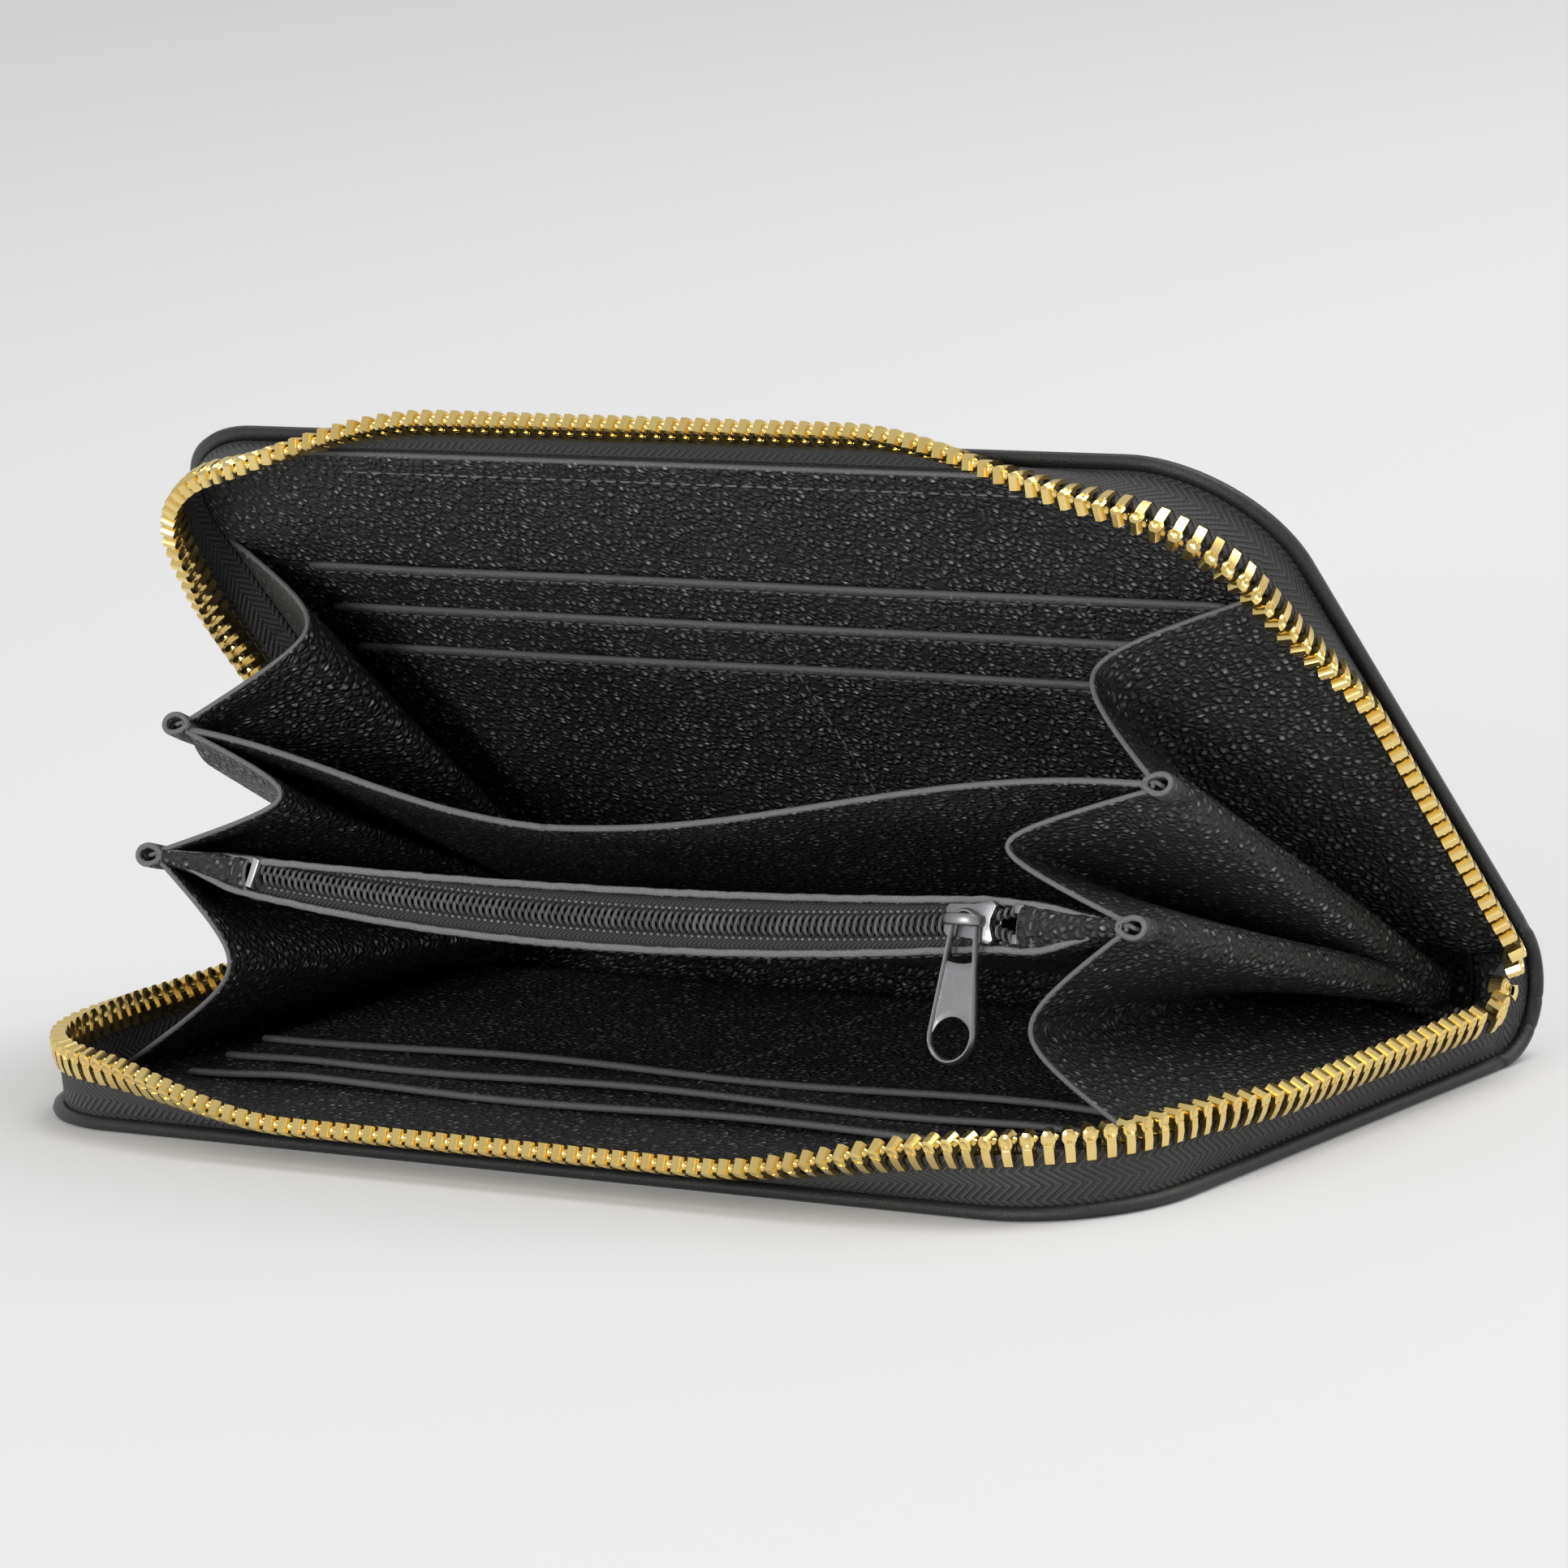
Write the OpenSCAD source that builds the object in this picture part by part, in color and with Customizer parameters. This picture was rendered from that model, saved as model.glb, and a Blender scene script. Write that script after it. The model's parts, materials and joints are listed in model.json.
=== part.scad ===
// Zip around wallet, standing open on its lower cover.
// Both covers, the coin pocket and the centre divider turn about one line inside the spine.
// Everything is drawn closed in that line's frame: X along the spine, d towards the zip, z up,
// and each body is then turned up to the angle at which it stands.

/* [Covers] */
// Length of the wallet along its spine
wallet_l = 190; // [160:1:235]
// Depth of a cover from the hinge line to its front edge
cover_d = 94; // [84:1:115]
// Thickness of the closed wallet
closed_t = 22; // [22:0.5:28]
// Radius of the two front corners of a cover
corner_r = 20; // [14:1:26]

/* [Opening] */
// Angle that the upper cover stands open
open_angle = 52; // [42:1:62]
// Angle of the coin pocket above the lower cover
coin_angle = 19; // [16:1:23]
// Angle of the centre divider above the coin pocket
divider_step = 10; // [8:1:12]
// Outward lean of the opened lower zip tape at its middle
lower_lean = 67; // [45:1:75]
// Outward lean of the opened upper zip tape at its middle
upper_lean = 75; // [45:1:75]
// Outward lean of the opened lower zip tape at the sides
lower_side_lean = 29; // [20:1:40]
// Outward lean of the opened upper zip tape at the sides
upper_side_lean = 40; // [20:1:40]

/* [Leather and board] */
// Thickness of the outer leather
outer_t = 1.2; // [1:0.1:1.3]
// Thickness of the stiffener board
board_t = 0.5; // [0.45:0.05:0.6]
// Thickness of the lining leather
lining_t = 0.7; // [0.5:0.1:0.8]
// Thickness of each card or slip pocket
pocket_t = 0.6; // [0.5:0.1:0.7]
// Thickness of the gusset leather
gusset_t = 0.8; // [0.6:0.1:1]
// Thickness of the centre divider, two leathers back to back
divider_t = 1.2; // [1:0.1:1.4]
// Thickness of a coin pocket leather
coin_leather_t = 0.7; // [0.6:0.1:0.8]

/* [Pockets] */
// Width of the card and slip pockets
pocket_w = 158; // [130:1:164]
// Depth of the slip pocket edge from the hinge line
slip_d = 68; // [60:1:72]
// Step from one pocket edge down to the next
slot_step = 8; // [6:0.5:10]
// How much further forward the pockets of the lower cover reach
lower_pocket_shift = 3; // [0:0.5:4]
// Depth of the coin pocket and the divider from the hinge line
inner_d = 72; // [64:1:76]
// Height of the coin pocket mouth between its leathers
mouth_h = 9.1; // [7:0.1:9.6]
// Length of the drawn-in leather at each end of the coin pocket mouth
coin_tab_l = 11.85; // [10:0.05:20]

/* [Gussets] */
// Distance of the gusset folds from the middle of the wallet
fold_x = 84; // [72:1:104]
// Width of one gusset facet at the spine
facet_w = 22.5; // [18:0.5:24]
// Outer diameter of a stitched gusset fold
fold_dia = 3.2; // [2.4:0.1:3.4]

/* [Main zip] */
// Inset of the zip tape from the cover edge
tape_inset = 2; // [1.5:0.1:3]
// Thickness of a zip tape
tape_t = 0.45; // [0.3:0.05:0.5]
// Width of the tape edge glued under the lining
flange_w = 5; // [3:0.5:7]
// Pitch of the teeth in one row
tooth_pitch = 2.5; // [2.4:0.1:3]
// Thickness of a tooth along the row
tooth_t = 1.05; // [0.9:0.05:1.1]
// Width of a tooth across the tape
tooth_w = 2.4; // [2:0.1:2.6]
// Length of a tooth from the tape to its head
tooth_l = 3.3; // [3:0.1:3.6]
// Reach of a tooth head past the line where the rows meet
tooth_reach = 0.9; // [0.6:0.1:1]

/* [Coin zip] */
// Distance of the coin zip slider from the right end of the coin pocket mouth
coin_slider_in = 11.5; // [10.5:0.5:50]
// Diameter of one side of the coin zip coil
coil_dia = 1.7; // [1.4:0.1:1.8]
// Gap between the two sides of the coin zip coil
coil_gap = 0.9; // [0.8:0.05:1]
// Length of the coin zip pull from its pivot to its tip
coin_pull_l = 19; // [14:1:20]
// Width of the coin zip pull
coin_pull_w = 7.6; // [6:0.1:8]

/* [Hidden] */

// clearances
gap = 0.3;       // between pieces of different bodies
slip = 0.1;      // between pieces that slide past each other
seat = 0.05;     // between pieces that touch on one body

// colours
leather = [0.07, 0.07, 0.075];
lining = [0.1, 0.1, 0.11];
cloth = [0.13, 0.13, 0.14];
brass = [0.83, 0.66, 0.29];
steel = [0.55, 0.55, 0.57];

// levels of a cover, measured from the plane where the two rows of teeth meet
half_l = wallet_l / 2;
half_t = closed_t / 2;
board_z = -half_t + outer_t;
lining_z = board_z + board_t;
slip_z = lining_z + lining_t;
rear_z = slip_z + pocket_t;
front_z = rear_z + pocket_t;
clear_z = front_z + pocket_t;

// tape and teeth
tape_x = half_l - tape_inset;
tape_d = cover_d - tape_inset;
tape_r = corner_r - tape_inset;
pivot_z = board_z + tape_t + gap;             // line about which the front tape leans
tape_top = -tooth_l + tooth_reach;            // top of the tape, where the teeth stand
tape_h = tape_top - pivot_z;
lean_from = tape_x;                           // the front lean grows from here towards the middle
lean_full = 35;                               // and is full from here on
side_corner = tape_d - tape_r + 6;            // the side lean grows from this depth
side_front = side_corner - 28;                // and is full from here
side_back = [30, 20];                         // to here, on the left and on the right,
side_end = [14, 3];                           // and is gone here
side_l = tape_d - tape_r;
turn_l = PI * tape_r / 2;
front_l = 2 * (tape_x - tape_r);
path_l = 2 * side_l + 2 * turn_l + front_l;
slider_l = 10;                                // length of the main zip slider
slider_start = 3.5;                           // from the hinge line to the main zip slider
slider_travel = 2.5;                          // straight stretch in front of the main zip slider
left_teeth_at = slider_start + slider_l + slider_travel + 1;
right_teeth_at = 8;

// coin pocket and divider, from the bottom of the stack up
coin_z = clear_z + 0.4 + coin_leather_t + mouth_h / 2;
coin_top_z = coin_z + mouth_h / 2 + coin_leather_t;
coin_back_h = 0.3;                            // half the room in the coin pocket at the spine
divider_z = coin_top_z + 0.6 + divider_t / 2;
divider_angle = coin_angle + divider_step;
spine_room = half_t - outer_t - lining_t - seat - gap;   // inner radius of the bend at the spine
coin_tape_d = inner_d - 2.2;
coil_d = coin_tape_d + tape_t + seat + coil_dia / 2;
coil_z = (coil_gap + coil_dia) / 2;
inner_x = fold_x - fold_dia / 2 - seat;       // side edge of the divider and the coin pocket
mouth_l = 2 * (inner_x - coin_tab_l);         // length of the mouth at its full height
coin_slider_x = mouth_l / 2 - coin_slider_in;
coin_zip_l = mouth_l - 2;

// coin zip slider
coin_plate_l = 8;
coin_plate_w = 6.4;
coin_plate_t = 0.9;
coin_face_d = coil_d + coil_dia / 2 + slip;
arch_r = 2.6;
arch_h = 2.4;
cap_lip = 0.9;                                // how far the arch's top stands out all round
pull_t = 1;

// main zip slider and its pull
main_plate_w = 9.4;
main_plate_t = 1;
main_face_x = tooth_w / 2 + 0.4;
main_side_x = main_face_x + main_plate_t;
main_pull_l = 18;
main_pull_w = 8.4;
main_arch_h = 2.2;
main_arch_r = 2;

// place of the hinge line in the wallet's frame, whose origin is under the middle of its box
front_y = tape_d + (tape_h + tooth_l + seat) * sin(lower_lean) + tooth_w / 3 * cos(lower_lean);
hinge_y = (front_y - half_t) / 2;
hinge_z = half_t;
side_lean = max(lower_side_lean, upper_side_lean);
side_x = tape_x + (tape_h + tooth_l + seat) * sin(side_lean) + tooth_w / 3 * cos(side_lean);
left_x = tape_x + main_side_x + main_arch_h;
shift_x = (max(left_x, side_x) - max(half_l, side_x)) / 2;

module placed() translate([shift_x, hinge_y, hinge_z]) children();
module turned(a) placed() rotate([-a, 0, 0]) children();
module on_lower() placed() children();
module on_upper() turned(open_angle) mirror([0, 0, 1]) children();
module on_coin() turned(coin_angle) translate([0, 0, coin_z]) children();
module on_divider() turned(divider_angle) translate([0, 0, divider_z]) children();
module on_ends() turned(open_angle / 2) children();

// a point of a body that stands at angle a: x, distance d towards the zip, height z
function at(a, x, d, z) = [x, -d * cos(a) + z * sin(a), d * sin(a) + z * cos(a)];
function unit(v) = v / norm(v);
// how far behind the hinge line a sheet at height z reaches before it meets the spine
function reach(z) = sqrt(spine_room * spine_room - z * z);
function ease(t) = let (c = min(max(t, 0), 1)) c * c * (3 - 2 * c);

// the zip's path round a cover: [x, y, heading] at arc length s from the left end of the spine
function path(s) =
    s < side_l ? [-tape_x, -s, -90]
    : s < side_l + turn_l ? let (a = (s - side_l) / tape_r * 180 / PI)
        [-tape_x + tape_r - tape_r * cos(a), -side_l - tape_r * sin(a), a - 90]
    : s < side_l + turn_l + front_l ? [-tape_x + tape_r + s - side_l - turn_l, -tape_d, 0]
    : s < side_l + 2 * turn_l + front_l ? let (a = (s - side_l - turn_l - front_l) / tape_r * 180 / PI)
        [tape_x - tape_r + tape_r * sin(a), -side_l - tape_r * cos(a), a]
    : [tape_x, -(path_l - s), 90];

// lean of the tape at a point of the path, where tilt = [lean at the front, lean at the sides]
function lean(p, tilt) =
    let (side = p[0] < 0 ? 0 : 1, d = -p[1],
         front_share = ease((lean_from - abs(p[0])) / (lean_from - lean_full)),
         side_share = min(ease((side_corner - d) / (side_corner - side_front)),
                          ease((d - side_end[side]) / (side_back[side] - side_end[side]))))
    tilt[0] * front_share + tilt[1] * side_share;
lower_tilt = [lower_lean, lower_side_lean];
upper_tilt = [upper_lean, upper_side_lean];

// a solid swept through rings of points, each ring in the same order
module swept(rings, caps) {
    n = len(rings[0]);
    m = len(rings);
    points = [for (r = rings) for (p = r) p];
    sides = [for (i = [0 : m - 2], j = [0 : n - 1]) let (k = (j + 1) % n)
        [[i * n + j, i * n + k, (i + 1) * n + k], [i * n + j, (i + 1) * n + k, (i + 1) * n + j]]];
    ends = [for (c = caps) [c[0], c[2], c[1]]];
    far = [for (c = caps) [c[0] + (m - 1) * n, c[1] + (m - 1) * n, c[2] + (m - 1) * n]];
    polyhedron(points, concat([for (s = sides) for (f = s) f], ends, far));
}
SQUARE = [[0, 1, 2], [0, 2, 3]];

// ring of the tape wall at s
function wall_ring(s, tilt) =
    let (p = path(s), a = p[2], out = [sin(a), -cos(a), 0], f = lean(p, tilt),
         rise = out * sin(f) + [0, 0, cos(f)], face = out * cos(f) - [0, 0, sin(f)],
         foot = [p[0], p[1], pivot_z], h = face * tape_t / 2, low = rise * gap)
    [foot + low + h, foot + low - h, foot + rise * tape_h - h, foot + rise * tape_h + h];

// ring of the glued edge of the tape at s
function flange_ring(s) =
    let (p = path(s), a = p[2], out = [sin(a), -cos(a), 0], foot = [p[0], p[1], board_z])
    [foot + out * tape_t / 2, foot - out * flange_w, foot - out * flange_w + [0, 0, tape_t],
     foot + out * tape_t / 2 + [0, 0, tape_t]];

// arc lengths where the tape bends, from end to end
function stations(from, to, step) = let (n = max(1, ceil((to - from) / step)))
    [for (i = [0 : n]) from + (to - from) * i / n];

mid_front = side_l + turn_l + front_l / 2;
// the three stretches that swing as one: [from, to] along the path, at the left, front and right
STRETCHES = [[side_back[0], side_front], [mid_front - lean_full, mid_front + lean_full],
             [path_l - side_front, path_l - side_back[1]]];
LEFT = 0;
FRONT = 1;
RIGHT = 2;

// the glued edge all round, and the wall between the stretches that swing
module tape(tilt) {
    stops = [0.5, for (w = STRETCHES) for (e = w) e, path_l - 0.5];
    swept([for (s = stations(0.5, path_l - 0.5, 4)) flange_ring(s)], SQUARE);
    for (i = [0 : 3])
        swept([for (s = stations(stops[2 * i], stops[2 * i + 1], 4)) wall_ring(s, tilt)], SQUARE);
}

module tape_stretch(which, tilt) {
    w = STRETCHES[which];
    swept([wall_ring(w[0] + slip, tilt), wall_ring(w[1] - slip, tilt)], SQUARE);
}

// one tooth standing at the origin on the tape edge, row along X and tape across Y
module tooth() {
    translate([-tooth_t / 2, 0, 0]) rotate([90, 0, 90]) linear_extrude(tooth_t)
        polygon([[-tooth_w / 2, 0], [tooth_w / 2, 0], [tooth_w / 2, tooth_l * 0.55],
                 [tooth_w / 3, tooth_l * 0.7], [tooth_w / 3, tooth_l], [-tooth_w / 3, tooth_l],
                 [-tooth_w / 3, tooth_l * 0.7], [-tooth_w / 2, tooth_l * 0.55]]);
}

module on_path(s, tilt) {
    p = path(s);
    translate([p[0], p[1], pivot_z]) rotate([0, 0, p[2]]) rotate([lean(p, tilt), 0, 0])
        translate([0, 0, tape_h + seat]) children();
}

// which stretch a place on the path belongs to, or -1 where it is on none
function stretch(s) = let (found = [for (i = [0 : 2]) if (s > STRETCHES[i][0] && s < STRETCHES[i][1]) i])
    len(found) > 0 ? found[0] : -1;

// the teeth of one stretch, or with which = -1 all the others
module teeth(tilt, shift, which) {
    count = floor((path_l - left_teeth_at - right_teeth_at) / tooth_pitch);
    for (i = [0 : count - 1]) {
        s = left_teeth_at + (i + shift) * tooth_pitch;
        if (stretch(s) == which) on_path(s, tilt) tooth();
    }
}

// clip that ends a row of teeth at the right end of the spine
module top_stop(tilt) on_path(path_l - right_teeth_at + 3.2, tilt)
    translate([-1, -tooth_w / 2, 0]) cube([2, tooth_w, tooth_l - tooth_reach - slip]);

// flat outline of a cover, inset all round and cut off at distance back in front of the hinge line
module cover_outline(inset, back) {
    r = corner_r - inset;
    w = half_l - inset;
    d = cover_d - inset;
    translate([-w, -d + r]) square([2 * w, d - r - back]);
    translate([-w + r, -d]) square([2 * (w - r), 2 * r]);
    for (s = [-1, 1]) translate([s * (w - r), -d + r]) circle(r, $fn = 72);
}

module layer(z, t, inset, back) translate([0, 0, z]) linear_extrude(t) cover_outline(inset, back);

module pocket(z, depth) translate([-pocket_w / 2, -depth, z]) cube([pocket_w, depth - 3, pocket_t]);

module outer_leather() color(leather) layer(-half_t, outer_t, 0, 0);
module stiffener_board() color("dimgray") layer(board_z, board_t, tape_inset + flange_w + 1, 1);
module lining_panel() color(lining) layer(lining_z, lining_t, tape_inset + tape_t + 0.6, 0);
module slip_pocket(shift) color(lining) pocket(slip_z, slip_d + shift);
module card_pocket_rear(shift) color(lining) pocket(rear_z, slip_d + shift - slot_step);
module card_pocket_front(shift) color(lining) pocket(front_z, slip_d + shift - 2 * slot_step);

module lower_outer_leather() on_lower() outer_leather();
module lower_stiffener_board() on_lower() stiffener_board();
module lower_lining_panel() on_lower() lining_panel();
module lower_slip_pocket() on_lower() slip_pocket(lower_pocket_shift);
module lower_card_pocket_rear() on_lower() card_pocket_rear(lower_pocket_shift);
module lower_card_pocket_front() on_lower() card_pocket_front(lower_pocket_shift);
module lower_zip_tape() color(cloth) on_lower() tape(lower_tilt);
module lower_zip_teeth() color(brass) on_lower() teeth(lower_tilt, 0, -1);
module lower_top_stop() color(brass) on_lower() top_stop(lower_tilt);
module lower_front_zip_tape() color(cloth) on_lower() tape_stretch(FRONT, lower_tilt);
module lower_front_zip_teeth() color(brass) on_lower() teeth(lower_tilt, 0, FRONT);
module lower_left_zip_tape() color(cloth) on_lower() tape_stretch(LEFT, lower_tilt);
module lower_left_zip_teeth() color(brass) on_lower() teeth(lower_tilt, 0, LEFT);
module lower_right_zip_tape() color(cloth) on_lower() tape_stretch(RIGHT, lower_tilt);
module lower_right_zip_teeth() color(brass) on_lower() teeth(lower_tilt, 0, RIGHT);

module upper_outer_leather() on_upper() outer_leather();
module upper_stiffener_board() on_upper() stiffener_board();
module upper_lining_panel() on_upper() lining_panel();
module upper_slip_pocket() on_upper() slip_pocket(0);
module upper_card_pocket_rear() on_upper() card_pocket_rear(0);
module upper_card_pocket_front() on_upper() card_pocket_front(0);
module upper_zip_tape() color(cloth) on_upper() tape(upper_tilt);
module upper_zip_teeth() color(brass) on_upper() teeth(upper_tilt, 0.5, -1);
module upper_top_stop() color(brass) on_upper() top_stop(upper_tilt);
module upper_front_zip_tape() color(cloth) on_upper() tape_stretch(FRONT, upper_tilt);
module upper_front_zip_teeth() color(brass) on_upper() teeth(upper_tilt, 0.5, FRONT);
module upper_left_zip_tape() color(cloth) on_upper() tape_stretch(LEFT, upper_tilt);
module upper_left_zip_teeth() color(brass) on_upper() teeth(upper_tilt, 0.5, LEFT);
module upper_right_zip_tape() color(cloth) on_upper() tape_stretch(RIGHT, upper_tilt);
module upper_right_zip_teeth() color(brass) on_upper() teeth(upper_tilt, 0.5, RIGHT);

// leather bent round the spine between the covers, from under the hinge line to behind it
module spine_wrap(r_out, t, half) placed() rotate([0, 90, 0]) translate([0, 0, -half])
    rotate_extrude(angle = 180 - open_angle, $fn = 96) translate([r_out - t, 0]) square([t, 2 * half]);

module spine_outer_leather() color(leather) spine_wrap(half_t, outer_t, half_l);
module spine_lining() color(lining) spine_wrap(half_t - outer_t - seat, lining_t, fold_x);

// ring of a gusset bay at depth d: up to its valley from one body and on to the other, and back
function bay_ring(d, from, valley, to) =
    let (a = at(from[0], from[1], d, from[2]), v = at(valley[0], valley[1], d, valley[2]),
         b = at(to[0], to[1], d, to[2]), along = at(valley[0], 0, 1, 0),
         na = unit(cross(along, v - a)), nb = unit(cross(along, b - v)),
         ha = na * gusset_t / 2, hb = nb * gusset_t / 2, hv = (ha + hb) / (1 + na * nb))
    [a + ha, v + hv, b + hb, b - hb, v - hv, a - ha];

// one bay of the right gusset, folded inwards between edges given as [angle, x, z]
module bay(from, to) {
    half_span = norm(at(to[0], 0, inner_d, to[2]) - at(from[0], 0, inner_d, from[2])) / 2;
    front_x = fold_x - sqrt(max(facet_w * facet_w - half_span * half_span, 1));
    mid = (from + to) / 2;
    slope = (front_x - fold_x + facet_w) / (inner_d - spine_room);
    swept([for (u = stations(-inner_d, -spine_room, 8))
               bay_ring(-u, from, [mid[0], front_x - slope * (inner_d + u), mid[2]], to)],
          [[0, 1, 4], [0, 4, 5], [1, 2, 3], [1, 3, 4]]);
}

edge = fold_dia / 2 + gusset_t / 2 + gap;     // from the middle of a fold to a facet's edge
cover_edge_z = clear_z + gusset_t / 2 + gap;  // height of a facet's edge over the pockets of a cover
cover_edge_x = fold_x + 1;

module lower_bay() color(lining) placed()
    bay([0, cover_edge_x, cover_edge_z], [coin_angle, fold_x, coin_z - edge]);
module middle_bay() color(lining) placed()
    bay([coin_angle, fold_x, coin_z + edge], [divider_angle, fold_x, divider_z - edge]);
module upper_bay() color(lining) placed()
    bay([divider_angle, fold_x, divider_z + edge], [open_angle, cover_edge_x, -cover_edge_z]);
module mirrored() translate([2 * shift_x, 0, 0]) mirror([1, 0, 0]) children();

module left_gusset_lower_bay() mirrored() lower_bay();
module left_gusset_middle_bay() mirrored() middle_bay();
module left_gusset_upper_bay() mirrored() upper_bay();
module right_gusset_lower_bay() lower_bay();
module right_gusset_middle_bay() middle_bay();
module right_gusset_upper_bay() upper_bay();

// gusset leather stitched round the side edge of the coin pocket or the divider
module fold(side) color(lining) translate([side * fold_x, -12, 0]) rotate([90, 0, 0])
    cylinder(d = fold_dia, h = inner_d - 12, $fn = 32);

module coin_pocket_left_fold() on_coin() fold(-1);
module coin_pocket_right_fold() on_coin() fold(1);
module divider_left_fold() on_divider() fold(-1);
module divider_right_fold() on_divider() fold(1);

module divider_leaf(z) color(lining) on_divider()
    translate([-inner_x, -inner_d, z])
        cube([2 * inner_x, inner_d + reach(divider_z + divider_t / 2), divider_t / 2]);
module divider_lower_leather() divider_leaf(-divider_t / 2);
module divider_upper_leather() divider_leaf(0);

// one leather of the coin pocket: flat over the mouth, drawn in to the folds at its ends
function panel_ring(d) =
    let (back = reach(coin_z - 1), m = mouth_l / 2,
         h = coin_back_h + (mouth_h / 2 - coin_back_h) * (d + back) / (inner_d + back),
         profile = [[-inner_x, slip], [-m, h], [m, h], [inner_x, slip]])
    concat([for (p = profile) [p[0], -d, p[1]]],
           [for (i = [3 : -1 : 0]) [profile[i][0], -d, profile[i][1] + coin_leather_t]]);
module coin_panel() swept([for (d = stations(-reach(coin_z - 1), inner_d, 10)) panel_ring(d)],
    [[0, 1, 6], [0, 6, 7], [1, 2, 5], [1, 5, 6], [2, 3, 4], [2, 4, 5]]);
module coin_pocket_upper_panel() color(lining) on_coin() coin_panel();
module coin_pocket_lower_panel() color(lining) on_coin() mirror([0, 0, 1]) coin_panel();

// pinched leather that closes an end of the mouth
module tab(side) {
    big = mouth_h / 2 + coin_leather_t;
    small = 1;
    x0 = side * (mouth_l / 2 - 0.5);
    x1 = side * inner_x;
    d0 = inner_d + seat;
    d1 = d0 + 1;
    swept([[[x0, -d0, -big], [x1, -d0, -small], [x1, -d0, small], [x0, -d0, big]],
           [[x0, -d1, -big], [x1, -d1, -small], [x1, -d1, small], [x0, -d1, big]]], SQUARE);
}
module coin_pocket_left_tab() color(lining) on_coin() tab(-1);
module coin_pocket_right_tab() color(lining) on_coin() tab(1);

module coin_tape() {
    lip = mouth_h / 2 - seat - coin_panel_slope;
    translate([-coin_zip_l / 2, -coin_tape_d - tape_t, coil_gap / 2])
        cube([coin_zip_l, tape_t, lip - coil_gap / 2]);
}
// how far the leathers come together at the depth of the tape
coin_panel_slope = (mouth_h / 2 - coin_back_h) * (inner_d - coin_tape_d) / (inner_d + reach(coin_z - 1));
module coin_zip_upper_tape() color(cloth) on_coin() coin_tape();
module coin_zip_lower_tape() color(cloth) on_coin() mirror([0, 0, 1]) coin_tape();

module coin_coil() translate([-coin_zip_l / 2 + 2, -coil_d, coil_z]) rotate([0, 90, 0])
    cylinder(d = coil_dia, h = coin_zip_l - 4, $fn = 24);
module coin_zip_upper_coil() color(cloth) on_coin() coin_coil();
module coin_zip_lower_coil() color(cloth) on_coin() mirror([0, 0, 1]) coin_coil();

module coin_zip_bottom_stop() color(steel) on_coin()
    translate([-coin_zip_l / 2, -coil_d - coil_dia / 2, -coil_z - coil_dia / 2])
        cube([2 - slip, coil_dia, 2 * coil_z + coil_dia]);
module coin_zip_top_stops() color(steel) on_coin() for (s = [-1, 1])
    translate([coin_zip_l / 2 - 2 + slip, -coil_d - coil_dia / 2, s * coil_z - coil_dia / 2])
        cube([2 - slip, coil_dia, coil_dia]);

// arch over a slider's plate, drawn on the plate's face and pointing along Z
module arch(r, h) difference() {
    union() {
        cylinder(r = r, h = h - 0.8, $fn = 48);
        translate([0, 0, h - 0.8]) cylinder(r = r + cap_lip, h = 0.8, $fn = 48);
    }
    translate([-r / 2, -2 * r, -1]) cube([r, 4 * r, h + 0.2]);
}

// a zip slider with its plates across Z, its neck at +X and its arch on top
module slider(l, w, t, face, back_face, neck_t, arch_radius, arch_height) {
    translate([-l / 2, -w / 2, face]) cube([l, w, t]);
    translate([-l / 2, -w / 2, -back_face - t]) cube([l, w, t]);
    translate([l / 2 - 2.4, -neck_t / 2, -back_face - 0.1]) cube([1.8, neck_t, face + back_face + 0.2]);
    translate([0, 0, face + t]) arch(arch_radius, arch_height);
}

// a zip pull: a ring that the arch turns in, and a flat handle with a slot, pointing along -Y
module pull(length, width, t, hole_r) difference() {
    union() {
        cylinder(r = hole_r + 0.8, h = t, $fn = 48);
        translate([0, -length + width / 2, 0]) cylinder(d = width, h = t, $fn = 48);
        translate([-width / 2, -length + width / 2, 0]) cube([width, length - width / 2 - hole_r, t]);
    }
    translate([0, 0, -1]) cylinder(r = hole_r, h = t + 2, $fn = 48);
    translate([0, -length + width / 2, -1]) cylinder(d = width * 0.58, h = t + 2, $fn = 48);
}

// the coin slider's frame: Z out of the mouth, X along the zip
module on_coin_slider() on_coin() translate([coin_slider_x, -coil_d, 0]) rotate([90, 0, 0]) children();

module coin_zip_slider() color(steel) on_coin_slider()
    slider(coin_plate_l, coin_plate_w, coin_plate_t, coil_dia / 2 + slip,
           coil_dia / 2 + seat + tape_t + slip, coil_gap - 2 * slip, arch_r, arch_h);
module coin_zip_pull() color(steel) on_coin_slider()
    translate([0, 0, coil_dia / 2 + 2 * slip + coin_plate_t])
        pull(coin_pull_l, coin_pull_w, pull_t, arch_r + gap / 2);

// a zip pull hooked through an arch by its cross bar at the origin, its handle pointing along -X
module hooked_pull(length, width, t) {
    start = main_arch_r + cap_lip + 1;
    arm = (width - 2 * (main_arch_r + cap_lip + 2 * slip)) / 2;
    rotate([90, 0, 0]) cylinder(d = t, h = width - arm, center = true, $fn = 32);
    for (s = [-1, 1]) translate([-start - 1, s * (width - arm) / 2 - arm / 2, -t / 2])
        cube([start + 1 + t / 2, arm, t]);
    difference() {
        union() {
            translate([-length + width / 2, -width / 2, -t / 2]) cube([length - width / 2 - start, width, t]);
            translate([-length + width / 2, 0, -t / 2]) cylinder(d = width, h = t, $fn = 48);
        }
        translate([-length + width / 2, 0, -t]) cylinder(d = width / 2, h = 2 * t, $fn = 48);
    }
}

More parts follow.
